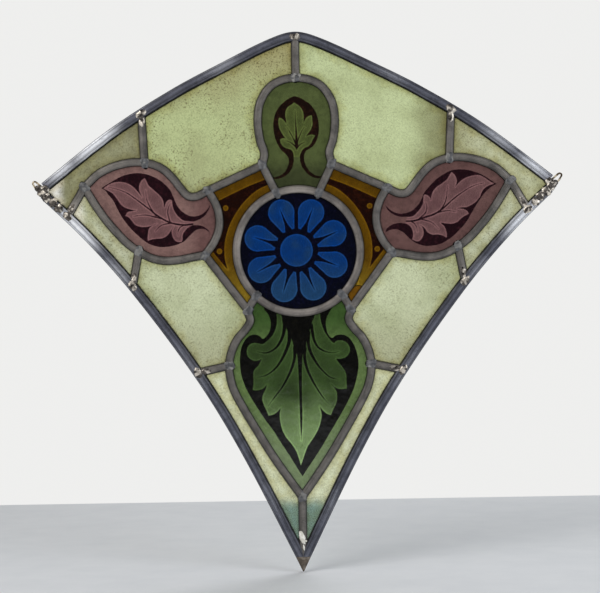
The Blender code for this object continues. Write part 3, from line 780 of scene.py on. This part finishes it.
mauveRight = {
    "plan": ((365, 150), 10.4533),
    "field": [
        [(1320, 320), (1260, 280), (1190, 245), (1110, 218), (1030, 205), (950, 205), (880, 222), (810, 260),
         (740, 310), (690, 360), (645, 410), (615, 450), (600, 490), (565, 560), (530, 600), (480, 640), (420, 660),
         (360, 665), (300, 650), (255, 620), (225, 590), (208, 575)],
        [(235, 625), (280, 665), (340, 692), (400, 700), (440, 697)],
        [(420, 768)],
        [(370, 763), (310, 770), (262, 792), (225, 825), (208, 868)],
        [(240, 845), (290, 830), (340, 833), (390, 855), (430, 890), (470, 930), (510, 960), (560, 985), (630, 1003),
         (700, 1000), (780, 985), (850, 950), (920, 900), (980, 840), (1040, 775), (1090, 700), (1140, 610),
         (1190, 530), (1240, 460), (1300, 400), (1345, 370), (1372, 355)]],
    "leaf": [
        [(440, 700), (500, 690), (545, 650), (585, 600), (605, 550), (608, 500), (612, 472), (628, 465)],
        [(655, 475), (680, 500), (688, 525)],
        [(692, 480), (710, 430), (750, 385), (800, 350), (850, 310), (880, 265), (902, 228)],
        [(935, 260), (955, 300), (958, 340), (943, 385)],
        [(970, 350), (1010, 315), (1060, 285), (1120, 268), (1190, 262), (1250, 290), (1300, 325), (1350, 352)],
        [(1300, 370), (1250, 400), (1220, 440), (1200, 490), (1160, 540), (1110, 575), (1060, 598), (1000, 602),
         (965, 610)],
        [(1000, 612), (1040, 620), (1070, 640), (1085, 668)],
        [(1040, 690), (1000, 720), (960, 755), (910, 772), (850, 770), (790, 760)],
        [(800, 770), (830, 800), (850, 850), (856, 905), (850, 918)],
        [(810, 895), (760, 885), (700, 885), (650, 860), (620, 815), (575, 785)],
        [(600, 810), (612, 850), (610, 890), (590, 930), (560, 955), (530, 955), (490, 935)],
        [(500, 900), (498, 860), (485, 820), (455, 785), (420, 768), (400, 768)],
        [(400, 700)]],
    "veins": [
        ([(430, 745), (500, 742), (560, 728), (620, 705), (700, 680), (760, 650), (820, 605), (880, 550), (950, 490),
          (1020, 440), (1100, 390), (1180, 358), (1240, 345)],
         (14, 15, 17, 18, 17, 15, 14, 12, 10, 8, 6, 4, 3)),
        ([(780, 640), (820, 580), (845, 520), (855, 450), (865, 370)], (12, 3)),
        ([(560, 725), (600, 690), (635, 650), (645, 600), (635, 550)], (14, 3)),
        ([(760, 655), (820, 640), (880, 635), (950, 645)], (10, 3)),
        ([(590, 725), (650, 740), (700, 760), (740, 795), (765, 825)], (10, 3)),
        ([(480, 745), (520, 775), (540, 815), (545, 855)], (10, 3))],
}
topLobe = {
    "plan": ((240, 70), 12.0615),
    "field": [
        [(720, 335), (780, 370), (840, 410), (890, 470), (925, 540), (945, 620), (952, 700), (945, 780), (925, 850),
         (890, 910), (840, 950), (800, 975), (780, 1010), (772, 1060), (780, 1110), (805, 1170), (845, 1225),
         (900, 1265), (950, 1280), (985, 1282)],
        [(960, 1306), (890, 1298), (835, 1270), (785, 1222), (748, 1170), (728, 1110), (722, 1050)],
        [(648, 1050)],
        [(650, 1090), (640, 1150), (612, 1215), (570, 1265), (510, 1300), (450, 1316), (400, 1314), (372, 1298)],
        [(430, 1292), (490, 1270), (540, 1230), (575, 1170), (590, 1110), (580, 1055), (545, 1010), (500, 970),
         (460, 910), (430, 840), (410, 760), (402, 680), (408, 600), (430, 520), (470, 450), (530, 390), (590, 345),
         (655, 318)]],
    "leaf": [
        [(720, 1050), (735, 1000), (770, 950), (820, 925), (855, 890), (880, 840), (910, 790)],
        [(870, 780), (830, 785), (800, 800)],
        [(820, 770), (855, 720), (875, 660), (872, 600), (868, 545)],
        [(830, 555), (790, 590), (768, 640)],
        [(768, 540), (755, 490), (720, 440), (680, 410), (652, 392)],
        [(620, 420), (575, 450), (550, 500), (545, 560), (555, 610), (558, 650)],
        [(540, 620), (510, 590), (470, 575)],
        [(462, 620), (470, 690), (490, 740), (520, 790), (560, 840)],
        [(545, 825), (510, 825), (482, 840)],
        [(490, 880), (520, 925), (570, 950), (610, 962), (640, 1000), (648, 1060)],
        [(722, 1060)]],
    "veins": [
        ([(665, 490), (668, 600), (675, 700), (680, 800), (683, 880), (683, 920), (683, 965)],
         (5, 8, 12, 22, 34, 40, 4)),
        ([(775, 690), (740, 750), (710, 820), (690, 880)], (3, 14)),
        ([(565, 690), (600, 750), (640, 820), (670, 890)], (3, 14)),
        ([(545, 855), (590, 865), (630, 890), (670, 925)], (3, 14)),
        ([(785, 870), (750, 885), (715, 910), (690, 940)], (3, 14))],
}
bottomLeaf = {
    "plan": ((220, 295), 8.041),
    "field": [
        [(355, 115), (385, 150), (405, 200), (408, 250), (395, 300), (370, 335), (345, 352), (320, 330), (280, 318),
         (235, 330), (200, 365), (175, 415), (163, 480), (162, 550), (170, 630), (190, 700), (220, 770), (260, 840),
         (310, 920), (370, 1010), (430, 1090), (500, 1200), (560, 1290), (610, 1370), (650, 1435), (665, 1455)],
        [(700, 1400), (760, 1310), (830, 1200), (900, 1080), (970, 960), (1030, 850), (1075, 750), (1100, 660),
         (1113, 570), (1108, 500), (1090, 430), (1060, 370), (1020, 330), (975, 318), (930, 325), (900, 345),
         (870, 315), (855, 270), (850, 220), (862, 170), (885, 130), (900, 100)],
        [(900, 40)], [(355, 40)], [(355, 100)]],
    "leaf": [
        [(458, 200), (450, 260), (430, 310), (400, 350), (370, 375), (345, 392), (290, 385), (250, 390), (222, 420),
         (215, 460), (225, 495), (255, 520), (290, 530), (320, 522), (335, 513)],
        [(310, 565), (280, 595), (268, 625), (270, 680), (268, 730), (262, 765)],
        [(310, 765), (350, 750), (378, 718)],
        [(365, 760), (345, 800), (340, 840), (355, 890), (375, 930), (390, 970)],
        [(430, 960), (465, 935), (488, 905)],
        [(480, 960), (485, 1020), (500, 1080), (530, 1140), (570, 1190), (605, 1240), (630, 1300), (650, 1370)],
        [(665, 1330), (685, 1270), (710, 1210), (750, 1150), (790, 1080), (812, 1010), (818, 960), (803, 895)],
        [(830, 930), (860, 955), (893, 965)],
        [(910, 920), (935, 870), (942, 820), (935, 770), (893, 713)],
        [(930, 745), (970, 755), (1020, 752)],
        [(1018, 700), (1015, 640), (1000, 600), (970, 560), (945, 530), (935, 512)],
        [(970, 512), (1010, 500), (1040, 465), (1045, 430), (1030, 395), (1000, 370), (960, 362), (930, 372),
         (915, 385), (880, 350), (845, 300), (820, 240), (808, 190), (805, 155)],
        [(805, 40)], [(455, 40)], [(455, 155)]],
    "trunk": [
        [(495, 165), (525, 240), (545, 290), (575, 350), (590, 400), (600, 440), (620, 480), (628, 560), (635, 700),
         (640, 850), (645, 1000), (650, 1100), (655, 1170)],
        [(662, 1000), (660, 850), (658, 700), (660, 560), (665, 480), (690, 430), (693, 380), (705, 330), (722, 280),
         (735, 230), (760, 170)],
        [(760, 40)], [(495, 40)]],
    "veins": [
        ([(515, 200), (520, 250), (505, 330), (470, 400), (430, 440), (370, 465), (300, 455)],
         (30, 28, 22, 18, 12, 8, 3)),
        ([(560, 300), (555, 380), (530, 450), (490, 530), (440, 595), (380, 640), (320, 658), (297, 662)],
         (30, 26, 24, 18, 12, 8, 4, 2)),
        ([(600, 420), (600, 500), (580, 580), (545, 660), (500, 740), (440, 820), (385, 895)],
         (24, 22, 20, 16, 12, 8, 2)),
        ([(735, 240), (745, 310), (760, 370), (790, 420), (840, 450), (900, 463), (960, 453)],
         (24, 22, 18, 14, 9, 5, 2)),
        ([(715, 300), (710, 380), (725, 450), (760, 520), (810, 590), (880, 655), (960, 682)],
         (24, 24, 22, 18, 12, 8, 2)),
        ([(685, 430), (680, 500), (700, 590), (735, 670), (780, 750), (835, 830), (885, 885)],
         (22, 22, 20, 16, 11, 7, 2))],
}
flower = {
    "plan": ((230, 180), 11.2), "centre": (745, 788), "disc": 183,
    "angles": [68, 111, 162, 208, 251.5, 293.5, 338.5, 24],                # of the petals' middle lines
    "inner": (235, 70), "outer": (410, 139), "tip": 454, "round": 148,     # radius and half width
    "notch": [(250, 36), (290, 22), (330, 13), (400, 7), (480, 2.5), (512, 0.5)],
}
amberLeft = {
    "plan": ((0, 0), 1.0),
    "dark": [
        [(246, 187.6), (218.1, 201.3)],
        [(222.9, 212.4), (222.8, 224), (221.9, 235.3), (216.6, 246.2), (213.2, 252.0)],
        [(227.6, 269.4)],
        [(224.8, 258.3), (224.8, 243), (228.6, 227.7), (236.3, 212.4), (246.8, 199), (258.3, 189.4), (268.8, 184.6)],
        [(265, 179.8)]],
    "dots": [(225.8, 208.2), (219.6, 251.4)], "dotRadius": 2.9,
}
amberRight = {                             # mirrored from the left, with a mended end of darker glass
    "plan": ((230, 180), 11.2),
    "cracks": [[(1440, 1100), (1400, 1190), (1330, 1245), (1330, 1300)], [(1400, 1190), (1450, 1180), (1500, 1205)]],
    "crackWidth": 0.6,
    "end": [[(1400, 1190), (1450, 1180), (1500, 1205)], [(1520, 1400)], [(1250, 1430)], [(1240, 1350)],
            [(1330, 1300)], [(1330, 1245)]],
    "mark": [[(1325, 1310), (1345, 1350)], (22, 6)],
}


def leafPaint(spots, art):
    field = shapeDistance(spots, planShape(art["plan"], art["field"]))
    leaf = shapeDistance(spots, planShape(art["plan"], art["leaf"]))
    paint = np.maximum(field, -leaf)
    if "trunk" in art:
        paint = np.minimum(paint, shapeDistance(spots, planShape(art["plan"], art["trunk"])))
    for points, widths in art["veins"]:
        line, widths = planStroke(art["plan"], points, widths)
        paint = np.minimum(paint, followLine(spots, line, widths)[0])
    return paint, field


def flowerPaint(spots, art):
    centre = asArray([onPlan(art["plan"], art["centre"])])[0]
    unit = drawing["unit"] / art["plan"][1]
    away = spots - centre
    far = np.hypot(*away.T)
    light = far - art["disc"] * unit
    (near, narrow), (wide, broad) = (np.array(art[name]) * unit for name in ("inner", "outer"))
    for angle in art["angles"]:
        a = radians(angle)
        axis = away @ np.array([cos(a), sin(a)])
        off = np.abs(away @ np.array([-sin(a), cos(a)]))
        half = narrow + (axis - near) * (broad - narrow) / (wide - near)
        cone = np.maximum(np.maximum(off - half, near - axis), axis - wide)
        knob = np.hypot(axis - art["tip"] * unit, off) - art["round"] * unit
        petal = np.minimum(cone, knob)
        rows = np.array(art["notch"]) * unit
        notch = np.where(axis < rows[-1, 0], off - np.interp(axis, rows[:, 0], rows[:, 1]), 9.0)
        light = np.minimum(light, np.maximum(petal, -notch))
    return -light, None


def amberPaint(spots, art, flip):
    spots = spots * np.array([flip, 1.0])
    dark = shapeDistance(spots, planShape(art["plan"], art["dark"]))
    for dot in art["dots"]:
        centre = asArray([onPlan(art["plan"], dot)])[0]
        dark = np.maximum(dark, art["dotRadius"] * drawing["unit"] - np.hypot(*(spots - centre).T))
    return dark, None


def amberMend(spots, art):
    paint = amberPaint(spots, amberLeft, -1)[0]
    for crack in art["cracks"]:
        line, widths = planStroke(art["plan"], crack, (1, 1))
        paint = np.minimum(paint, followLine(spots, line)[0] - art["crackWidth"] / 2)
    line, widths = planStroke(art["plan"], *art["mark"])
    paint = np.minimum(paint, followLine(spots, line, widths)[0])
    return paint, -shapeDistance(spots, planShape(art["plan"], art["end"]))


# Glass. Colours are the shades that each pane shows with the pale wall behind it.

sheet = {
    "thickness": 3.0, "paintedStep": 0.5, "plainStep": 1.0,                # of the pane, and of its grid
    "farthest": 20.0,          # lead further off than this leaves no dirt, patina or painted shadow
    "through": 0.79,           # of white light that comes through a clear pane
    "ageing": (0.86, 0.79, 0.58), "seeds": (104, 92, 52), "flecks": (222, 226, 200),
    "refraction": 1.46, "gleam": 0.2,
}


def seen(red, green, blue):                # glass that shows this shade against the pale wall
    return tuple(min(1.0, linear(level) / sheet["through"]) for level in (red, green, blue)) + (1.0,)


mauveGlass = {"slot": "mauve_glass", "paint": (26, 9, 15), "thin": (46, 19, 26), "grain": 0.25, "cloud": 12}
plainGlass = {"slot": "pale_green_glass", "grain": 0.5}
glassFinishes = {                          # turns: axis, from, to in the world's millimetres, and the shade there
    "mauve_left": mauveGlass | {
        "clear": (116, 84, 85), "patch": (98, 68, 71), "band": (124, 96, 92),
        "bandTurns": [(0, -90, -75, (104, 76, 74))]},
    "mauve_right": mauveGlass | {
        "clear": (110, 80, 81), "patch": (94, 65, 68), "band": (98, 72, 70)},
    "top_lobe": {
        "slot": "green_glass", "clear": (78, 88, 46), "patch": (60, 70, 36), "band": (76, 86, 50),
        "paint": (20, 9, 6), "thin": (40, 22, 13), "grain": 0.25, "cloud": 14,
        "bandTurns": [(2, 24, 4, (56, 62, 38))]},
    "bottom_leaf": {
        "slot": "green_glass", "clear": (54, 74, 38), "patch": (42, 56, 30), "band": (90, 111, 66),
        "paint": (4, 4, 3), "thin": (15, 14, 8), "grain": 0.25, "cloud": 20,
        "turns": [(2, -160, -208, (116, 142, 92))],
        "bandTurns": [(2, -140, -106, (56, 80, 39)), (2, -175, -225, (108, 126, 88))]},
    "roundel": {
        "slot": "blue_glass", "clear": (6, 50, 110), "patch": (26, 58, 96), "band": (9, 48, 102),
        "paint": (2, 3, 17), "thin": (6, 8, 32), "grain": 0.15, "cloud": 12,
        "turns": [(2, -60, -90, (28, 62, 100))]},
    "amber": {
        "slot": "amber_glass", "clear": (94, 66, 6), "patch": (78, 52, 5), "band": (106, 72, 12),
        "paint": (22, 5, 2), "thin": (42, 15, 5), "grain": 0.2, "cloud": 12,
        "turns": [(2, -55, -95, (136, 112, 32))]},
    "upper_left": plainGlass | {
        "clear": (180, 191, 141), "patch": (160, 166, 122), "cloud": 30, "specks": 0.9,
        # the first turn darkens towards the apex; the second, darker towards the bottom, is a painted shadow
        "turns": [(2, 45, 110, (158, 155, 112)), (2, 18, -10, (158, 163, 122))]},
    "upper_right": plainGlass | {
        "clear": (190, 202, 156), "patch": (172, 182, 136), "cloud": 30, "specks": 0.2,
        # darker towards the right end: a painted shadow
        "turns": [(0, 85, 125, (124, 124, 88))]},
    "corner_upper_left": plainGlass | {
        "clear": (148, 149, 118), "patch": (118, 116, 88), "cloud": 9, "specks": 0.5,
        # near-white towards the left corner: a painted reflection
        "turns": [(0, -184, -194, (236, 238, 228))]},
    "corner_upper_right": plainGlass | {
        "clear": (188, 192, 160), "patch": (158, 162, 126), "cloud": 12, "specks": 0.4,
        "turns": [(0, 150, 120, (150, 150, 112))]},
    "corner_lower": plainGlass | {
        "clear": (190, 195, 168), "patch": (164, 170, 140), "cloud": 12, "specks": 0.45,
        # near-white towards the left corner: a painted reflection
        "turns": [(0, -168, -178, (230, 232, 220))]},
    "lower": plainGlass | {
        "clear": (194, 202, 168), "patch": (156, 163, 124), "cloud": 34, "specks": 0.4,
        # darker towards the bottom: a painted shadow
        "turns": [(2, -95, -140, (170, 174, 142))]},
    "bottom": plainGlass | {
        "clear": (206, 212, 180), "patch": (184, 190, 156), "cloud": 22, "specks": 0.15,
        # teal towards the tip: painted colour of a blue surface seen through the glass
        "turns": [(2, -250, -262, (134, 164, 150))]},
}


def glassFinish(name, settings):
    finish = Finish(name)
    grain = finish.noise(1.0, 4.0)
    cloud = finish.noise(settings["cloud"], 1.5)
    axes = [finish.node("ShaderNodeSeparateXYZ", {}, {0: finish.place()}, i) for i in range(3)]
    colour = finish.blend(finish.fade(cloud, 0.36, 0.76) * 0.75, seen(*settings["clear"]), seen(*settings["patch"]))
    for axis, start, end, shade in settings.get("turns", []):
        reach = axes[axis] + (cloud - 0.5) * abs(end - start) * 0.6
        colour = finish.blend(finish.fade(reach, start, end), colour, seen(*shade))
    body = colour
    lead = finish.attribute("lead")
    roughness = 0.08 + grain * 0.08
    if "paint" in settings:
        side, paint = finish.attribute("band"), finish.attribute("paint")
        within = finish.fade(side, 0.1, -0.1)
        brush = finish.noise(2.4, 4.0)
        worn = finish.fade(finish.noise(4.0, 5.0), 0.4, 0.68)
        band = seen(*settings["band"])
        for axis, start, end, shade in settings.get("bandTurns", []):
            band = finish.blend(finish.fade(axes[axis], start, end), band, seen(*shade))
        band = finish.shade(worn * 0.7, band, 0.72)
        scratch = finish.noise(0.8, 4.0, finish.place((1.0, 1.0, 0.3), 0.5))
        colour = finish.shade(finish.fade(scratch, 0.4, 0.7), colour, 0.76)
        deep = finish.fade(paint + (brush - 0.5) * 2.0, 0.6, 3.4)
        colour = finish.shade(deep * 0.6, colour, 0.84)
        rim = finish.fade(paint, 0.25, 0.5) * finish.fade(paint, 1.15, 0.75)
        colour = finish.shade(rim * within, colour, 1.42)
        colour = finish.blend(within, band, colour)
        painted = finish.fade(paint + (brush - 0.5) * 0.5, 0.16, -0.16)
        dark = finish.blend(finish.fade(brush, 0.45, 0.75), seen(*settings["paint"]), seen(*settings["thin"]))
        colour = finish.blend(painted, colour, dark)
        roughness = roughness + painted * 0.04
    else:
        streak = finish.fade(finish.noise(3.6, 4.0), 0.45, 0.75)
        colour = finish.shade(streak * 0.3, colour, 0.8)
        brown = finish.node("ShaderNodeVectorMath", {"operation": "MULTIPLY"}, {0: colour, 1: sheet["ageing"]})
        aged = finish.fade(lead + (finish.noise(9.0, 4.0) - 0.5) * 16.0, 8.0, -2.0)
        colour = finish.blend(aged * 0.8, colour, brown)
        edge = finish.fade(lead, 16.0, 2.0) * 0.16
        seeds = finish.fade(finish.noise(1.0, 3.0), 0.56, 0.68)
        seeds = seeds * finish.fade(finish.noise(16.0, 3.0) + edge, 0.42, 0.64)
        colour = finish.blend(seeds * settings["specks"], colour, seen(*sheet["seeds"]))
        fleck = finish.fade(finish.noise(0.8, 2.0), 0.7, 0.78)
        colour = finish.blend(fleck * 0.5, colour, seen(*sheet["flecks"]))
    colour = finish.shade(finish.fade(grain, 0.35, 0.7) * settings["grain"], colour, 0.6)
    # darker within about 7 mm of the lead: dirt, with the painted shadow of the lead
    smear = (finish.noise(7.0, 4.0) - 0.5) * 12.0
    colour = finish.shade(finish.fade(lead + smear, 7.0, -1.0) * 0.5, colour, 0.62)
    dirt = finish.fade(lead + (finish.noise(2.5, 4.0) - 0.5) * 3.0, 1.6, -0.2)
    colour = finish.shade(dirt * 0.7, colour, 0.4)
    cement = finish.fade(lead + (grain - 0.5) * 0.7, 0.5, 0.1)
    colour = finish.shade(cement, colour, 0.06)
    squared = finish.node("ShaderNodeVectorMath", {"operation": "MULTIPLY"}, {0: colour, 1: colour})
    front = finish.node("ShaderNodeVectorMath", {"operation": "DIVIDE"}, {0: squared, 1: body})
    colour = finish.blend(finish.attribute("front"), body, front)      # paint and dirt lie on the front face alone
    wave = finish.noise(11.0, 2.0)
    finish.feed(Base_Color=colour, Roughness=roughness, Transmission_Weight=1.0, IOR=sheet["refraction"],
                Specular_IOR_Level=sheet["gleam"], Normal=finish.bump(wave + grain * 0.05, 0.25))
    return finish.material


glassMaterials = {name: glassFinish(name + " glass", settings) for name, settings in glassFinishes.items()}
panes = {                                  # finish and painting
    "glass_roundel": ("roundel", lambda spots: flowerPaint(spots, flower)),
    "glass_top_lobe": ("top_lobe", lambda spots: leafPaint(spots, topLobe)),
    "glass_bottom_leaf": ("bottom_leaf", lambda spots: leafPaint(spots, bottomLeaf)),
    "glass_mauve_leaf_left": ("mauve_left", lambda spots: leafPaint(spots, mauveLeft)),
    "glass_mauve_leaf_right": ("mauve_right", lambda spots: leafPaint(spots, mauveRight)),
    "glass_amber_left": ("amber", lambda spots: amberPaint(spots, amberLeft, 1)),
    "glass_amber_right": ("amber", lambda spots: amberMend(spots, amberRight)),
    "glass_upper_left": ("upper_left", None), "glass_upper_right": ("upper_right", None),
    "glass_corner_upper_left": ("corner_upper_left", None), "glass_corner_upper_right": ("corner_upper_right", None),
    "glass_corner_lower_left": ("corner_lower", None), "glass_corner_lower_right": ("corner_lower", None),
    "glass_lower_left": ("lower", None), "glass_lower_right": ("lower", None),
    "glass_bottom_left": ("bottom", None), "glass_bottom_right": ("bottom", None),
}


def leadDistance(spots):                   # from the edge of the nearest flange
    low, high = spots.min(axis=0) - 12, spots.max(axis=0) + 12
    best = np.full(len(spots), sheet["farthest"])
    for node, line in cameLines.items():
        line = asArray(line)
        near = ((line > low) & (line < high)).all(axis=1)
        if near.any():
            first, last = np.argmax(near), len(near) - np.argmax(near[::-1])
            half = leadwork["borderWidth" if node.startswith("border") else "cameWidth"] / 2
            best = np.minimum(best, followLine(spots, line[max(0, first - 1):last + 1])[0] - half)
    return best


def cutPane(node, kind, painting):
    step = sheet["paintedStep" if painting else "plainStep"]
    low, high = (Vector(corner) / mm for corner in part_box(node))
    low.z, high.z = low.z + loopRise, high.z + loopRise
    columns, rows = (ceil((high[i] - low[i]) / step) for i in (0, 2))
    deselectAll()
    bpy.ops.mesh.primitive_grid_add(x_subdivisions=columns, y_subdivisions=rows, size=1)
    pane = bpy.context.object
    mesh = pane.data
    spots = flatSpots(mesh)
    spots[:, 0] = low.x + (spots[:, 0] + 0.5) * (high.x - low.x)
    spots[:, 1] = low.z + (spots[:, 1] + 0.5) * (high.z - low.z)
    mesh.vertices.foreach_set("co", spots.ravel())
    solid = BVHTree.FromObject(bpy.data.objects[node], bpy.context.evaluated_depsgraph_get())
    outside = [solid.ray_cast(Vector((x * mm, -0.1, (y - loopRise) * mm)), Vector((0, 1, 0)))[0] is None
               for x, y, _ in spots]
    for name, parts in (("select", mesh.polygons), ("select", mesh.edges)):
        parts.foreach_set(name, np.zeros(len(parts), bool))
    mesh.vertices.foreach_set("select", np.array(outside))
    onlySelect(pane)
    bpy.ops.object.mode_set(mode="EDIT")
    bpy.ops.mesh.select_mode(type="VERT")
    bpy.ops.mesh.delete(type="VERT")
    bpy.ops.object.mode_set(mode="OBJECT")
    spots = flatSpots(mesh)[:, :2]
    if painting:
        paint, band = painting(spots)
        keepAttribute(mesh, "paint", paint)
        keepAttribute(mesh, "band", np.full(len(spots), -9.0) if band is None else band)
    keepAttribute(mesh, "lead", leadDistance(spots))
    solidify = pane.modifiers.new("thickness", "SOLIDIFY")
    solidify.thickness = sheet["thickness"]
    solidify.offset = 0.0
    onlySelect(pane)
    bpy.ops.object.modifier_apply(modifier=solidify.name)
    keepAttribute(mesh, "front", flatSpots(mesh)[:, 2] > 0)
    finishPiece(pane, node.replace("glass", "pane"), glassMaterials[kind], glassFinishes[kind]["slot"], node)


for node, (kind, painting) in panes.items():
    cutPane(node, kind, painting)
print("panes cut and painted")


# The studio: pale floor, pale surround, soft lights and the camera

studio = {
    "wall": (0.86, 0.86, 0.85), "fill": 0.42, "gloss": 0.05,
    "floorY": (-1.6, 0.47), "floorX": 1.7, "floorDrop": 256.8,
    "floorColours": (plain(228, 231, 235), plain(216, 220, 225)),
    "lights": [("key light", (-0.95, -1.15, 0.75), 0.9, 13.0, (1.0, 0.97, 0.93)),
               ("side light", (1.1, -1.0, 0.35), 0.9, 8.0, (0.93, 0.96, 1.0)),
               ("back light", (0.5, 1.2, 0.9), 0.9, 8.0, (1.0, 1.0, 1.0))],
    "lightsAim": Vector((0, 0, -0.09)),
    "cameraAway": 1333.3, "lens": 100.0, "cameraPlace": (0.7, -36.4), "tilt": radians(0.94),
}


def buildStudio():
    w = studio
    (near, far), reach, drop = w["floorY"], w["floorX"], -(w["floorDrop"] + loopRise) * mm
    deselectAll()
    bpy.ops.mesh.primitive_plane_add(size=1)
    floor = bpy.context.object
    floor.name = "studio_floor"
    for vertex in floor.data.vertices:
        vertex.co = (vertex.co.x * 2 * reach, near + (vertex.co.y + 0.5) * (far - near), drop)
    finish = Finish("floor")
    finish.feed(Base_Color=finish.blend(finish.noise(30.0, 3.0), *w["floorColours"]), Roughness=0.85)
    floor.data.materials.append(finish.material)
    world = bpy.data.worlds.new("surround")
    bpy.context.scene.world = world
    world.use_nodes = True
    nodes, links = world.node_tree.nodes, world.node_tree.links
    paths = nodes.new("ShaderNodeLightPath")
    direct, dim, strength = (nodes.new(kind) for kind in ("ShaderNodeMath", "ShaderNodeMix", "ShaderNodeMix"))
    direct.operation = "MAXIMUM"
    links.new(paths.outputs["Is Camera Ray"], direct.inputs[0])
    links.new(paths.outputs["Is Transmission Ray"], direct.inputs[1])
    links.new(paths.outputs["Is Glossy Ray"], dim.inputs[0])
    dim.inputs[2].default_value, dim.inputs[3].default_value = w["fill"], w["gloss"]
    links.new(direct.outputs[0], strength.inputs[0])
    links.new(dim.outputs[0], strength.inputs[2])
    strength.inputs[3].default_value = 1.0
    background = nodes["Background"]
    background.inputs["Color"].default_value = (*w["wall"], 1.0)
    links.new(strength.outputs[0], background.inputs["Strength"])
    for name, place, size, power, colour in w["lights"]:
        bpy.ops.object.light_add(type="AREA", location=place)
        light = bpy.context.object
        light.name = name
        light.data.shape = "SQUARE"
        light.data.size = size
        light.data.energy = power
        light.data.color = colour
        light.rotation_euler = (w["lightsAim"] - Vector(place)).to_track_quat("-Z", "Y").to_euler()
    x, y = w["cameraPlace"]
    bpy.ops.object.camera_add(location=(x * mm, -w["cameraAway"] * mm, (y - loopRise) * mm),
                              rotation=(radians(90), w["tilt"], 0))
    camera = bpy.context.object
    camera.data.lens = w["lens"]
    camera.data.sensor_width = 36.0
    bpy.context.scene.camera = camera


buildStudio()
print("studio set")
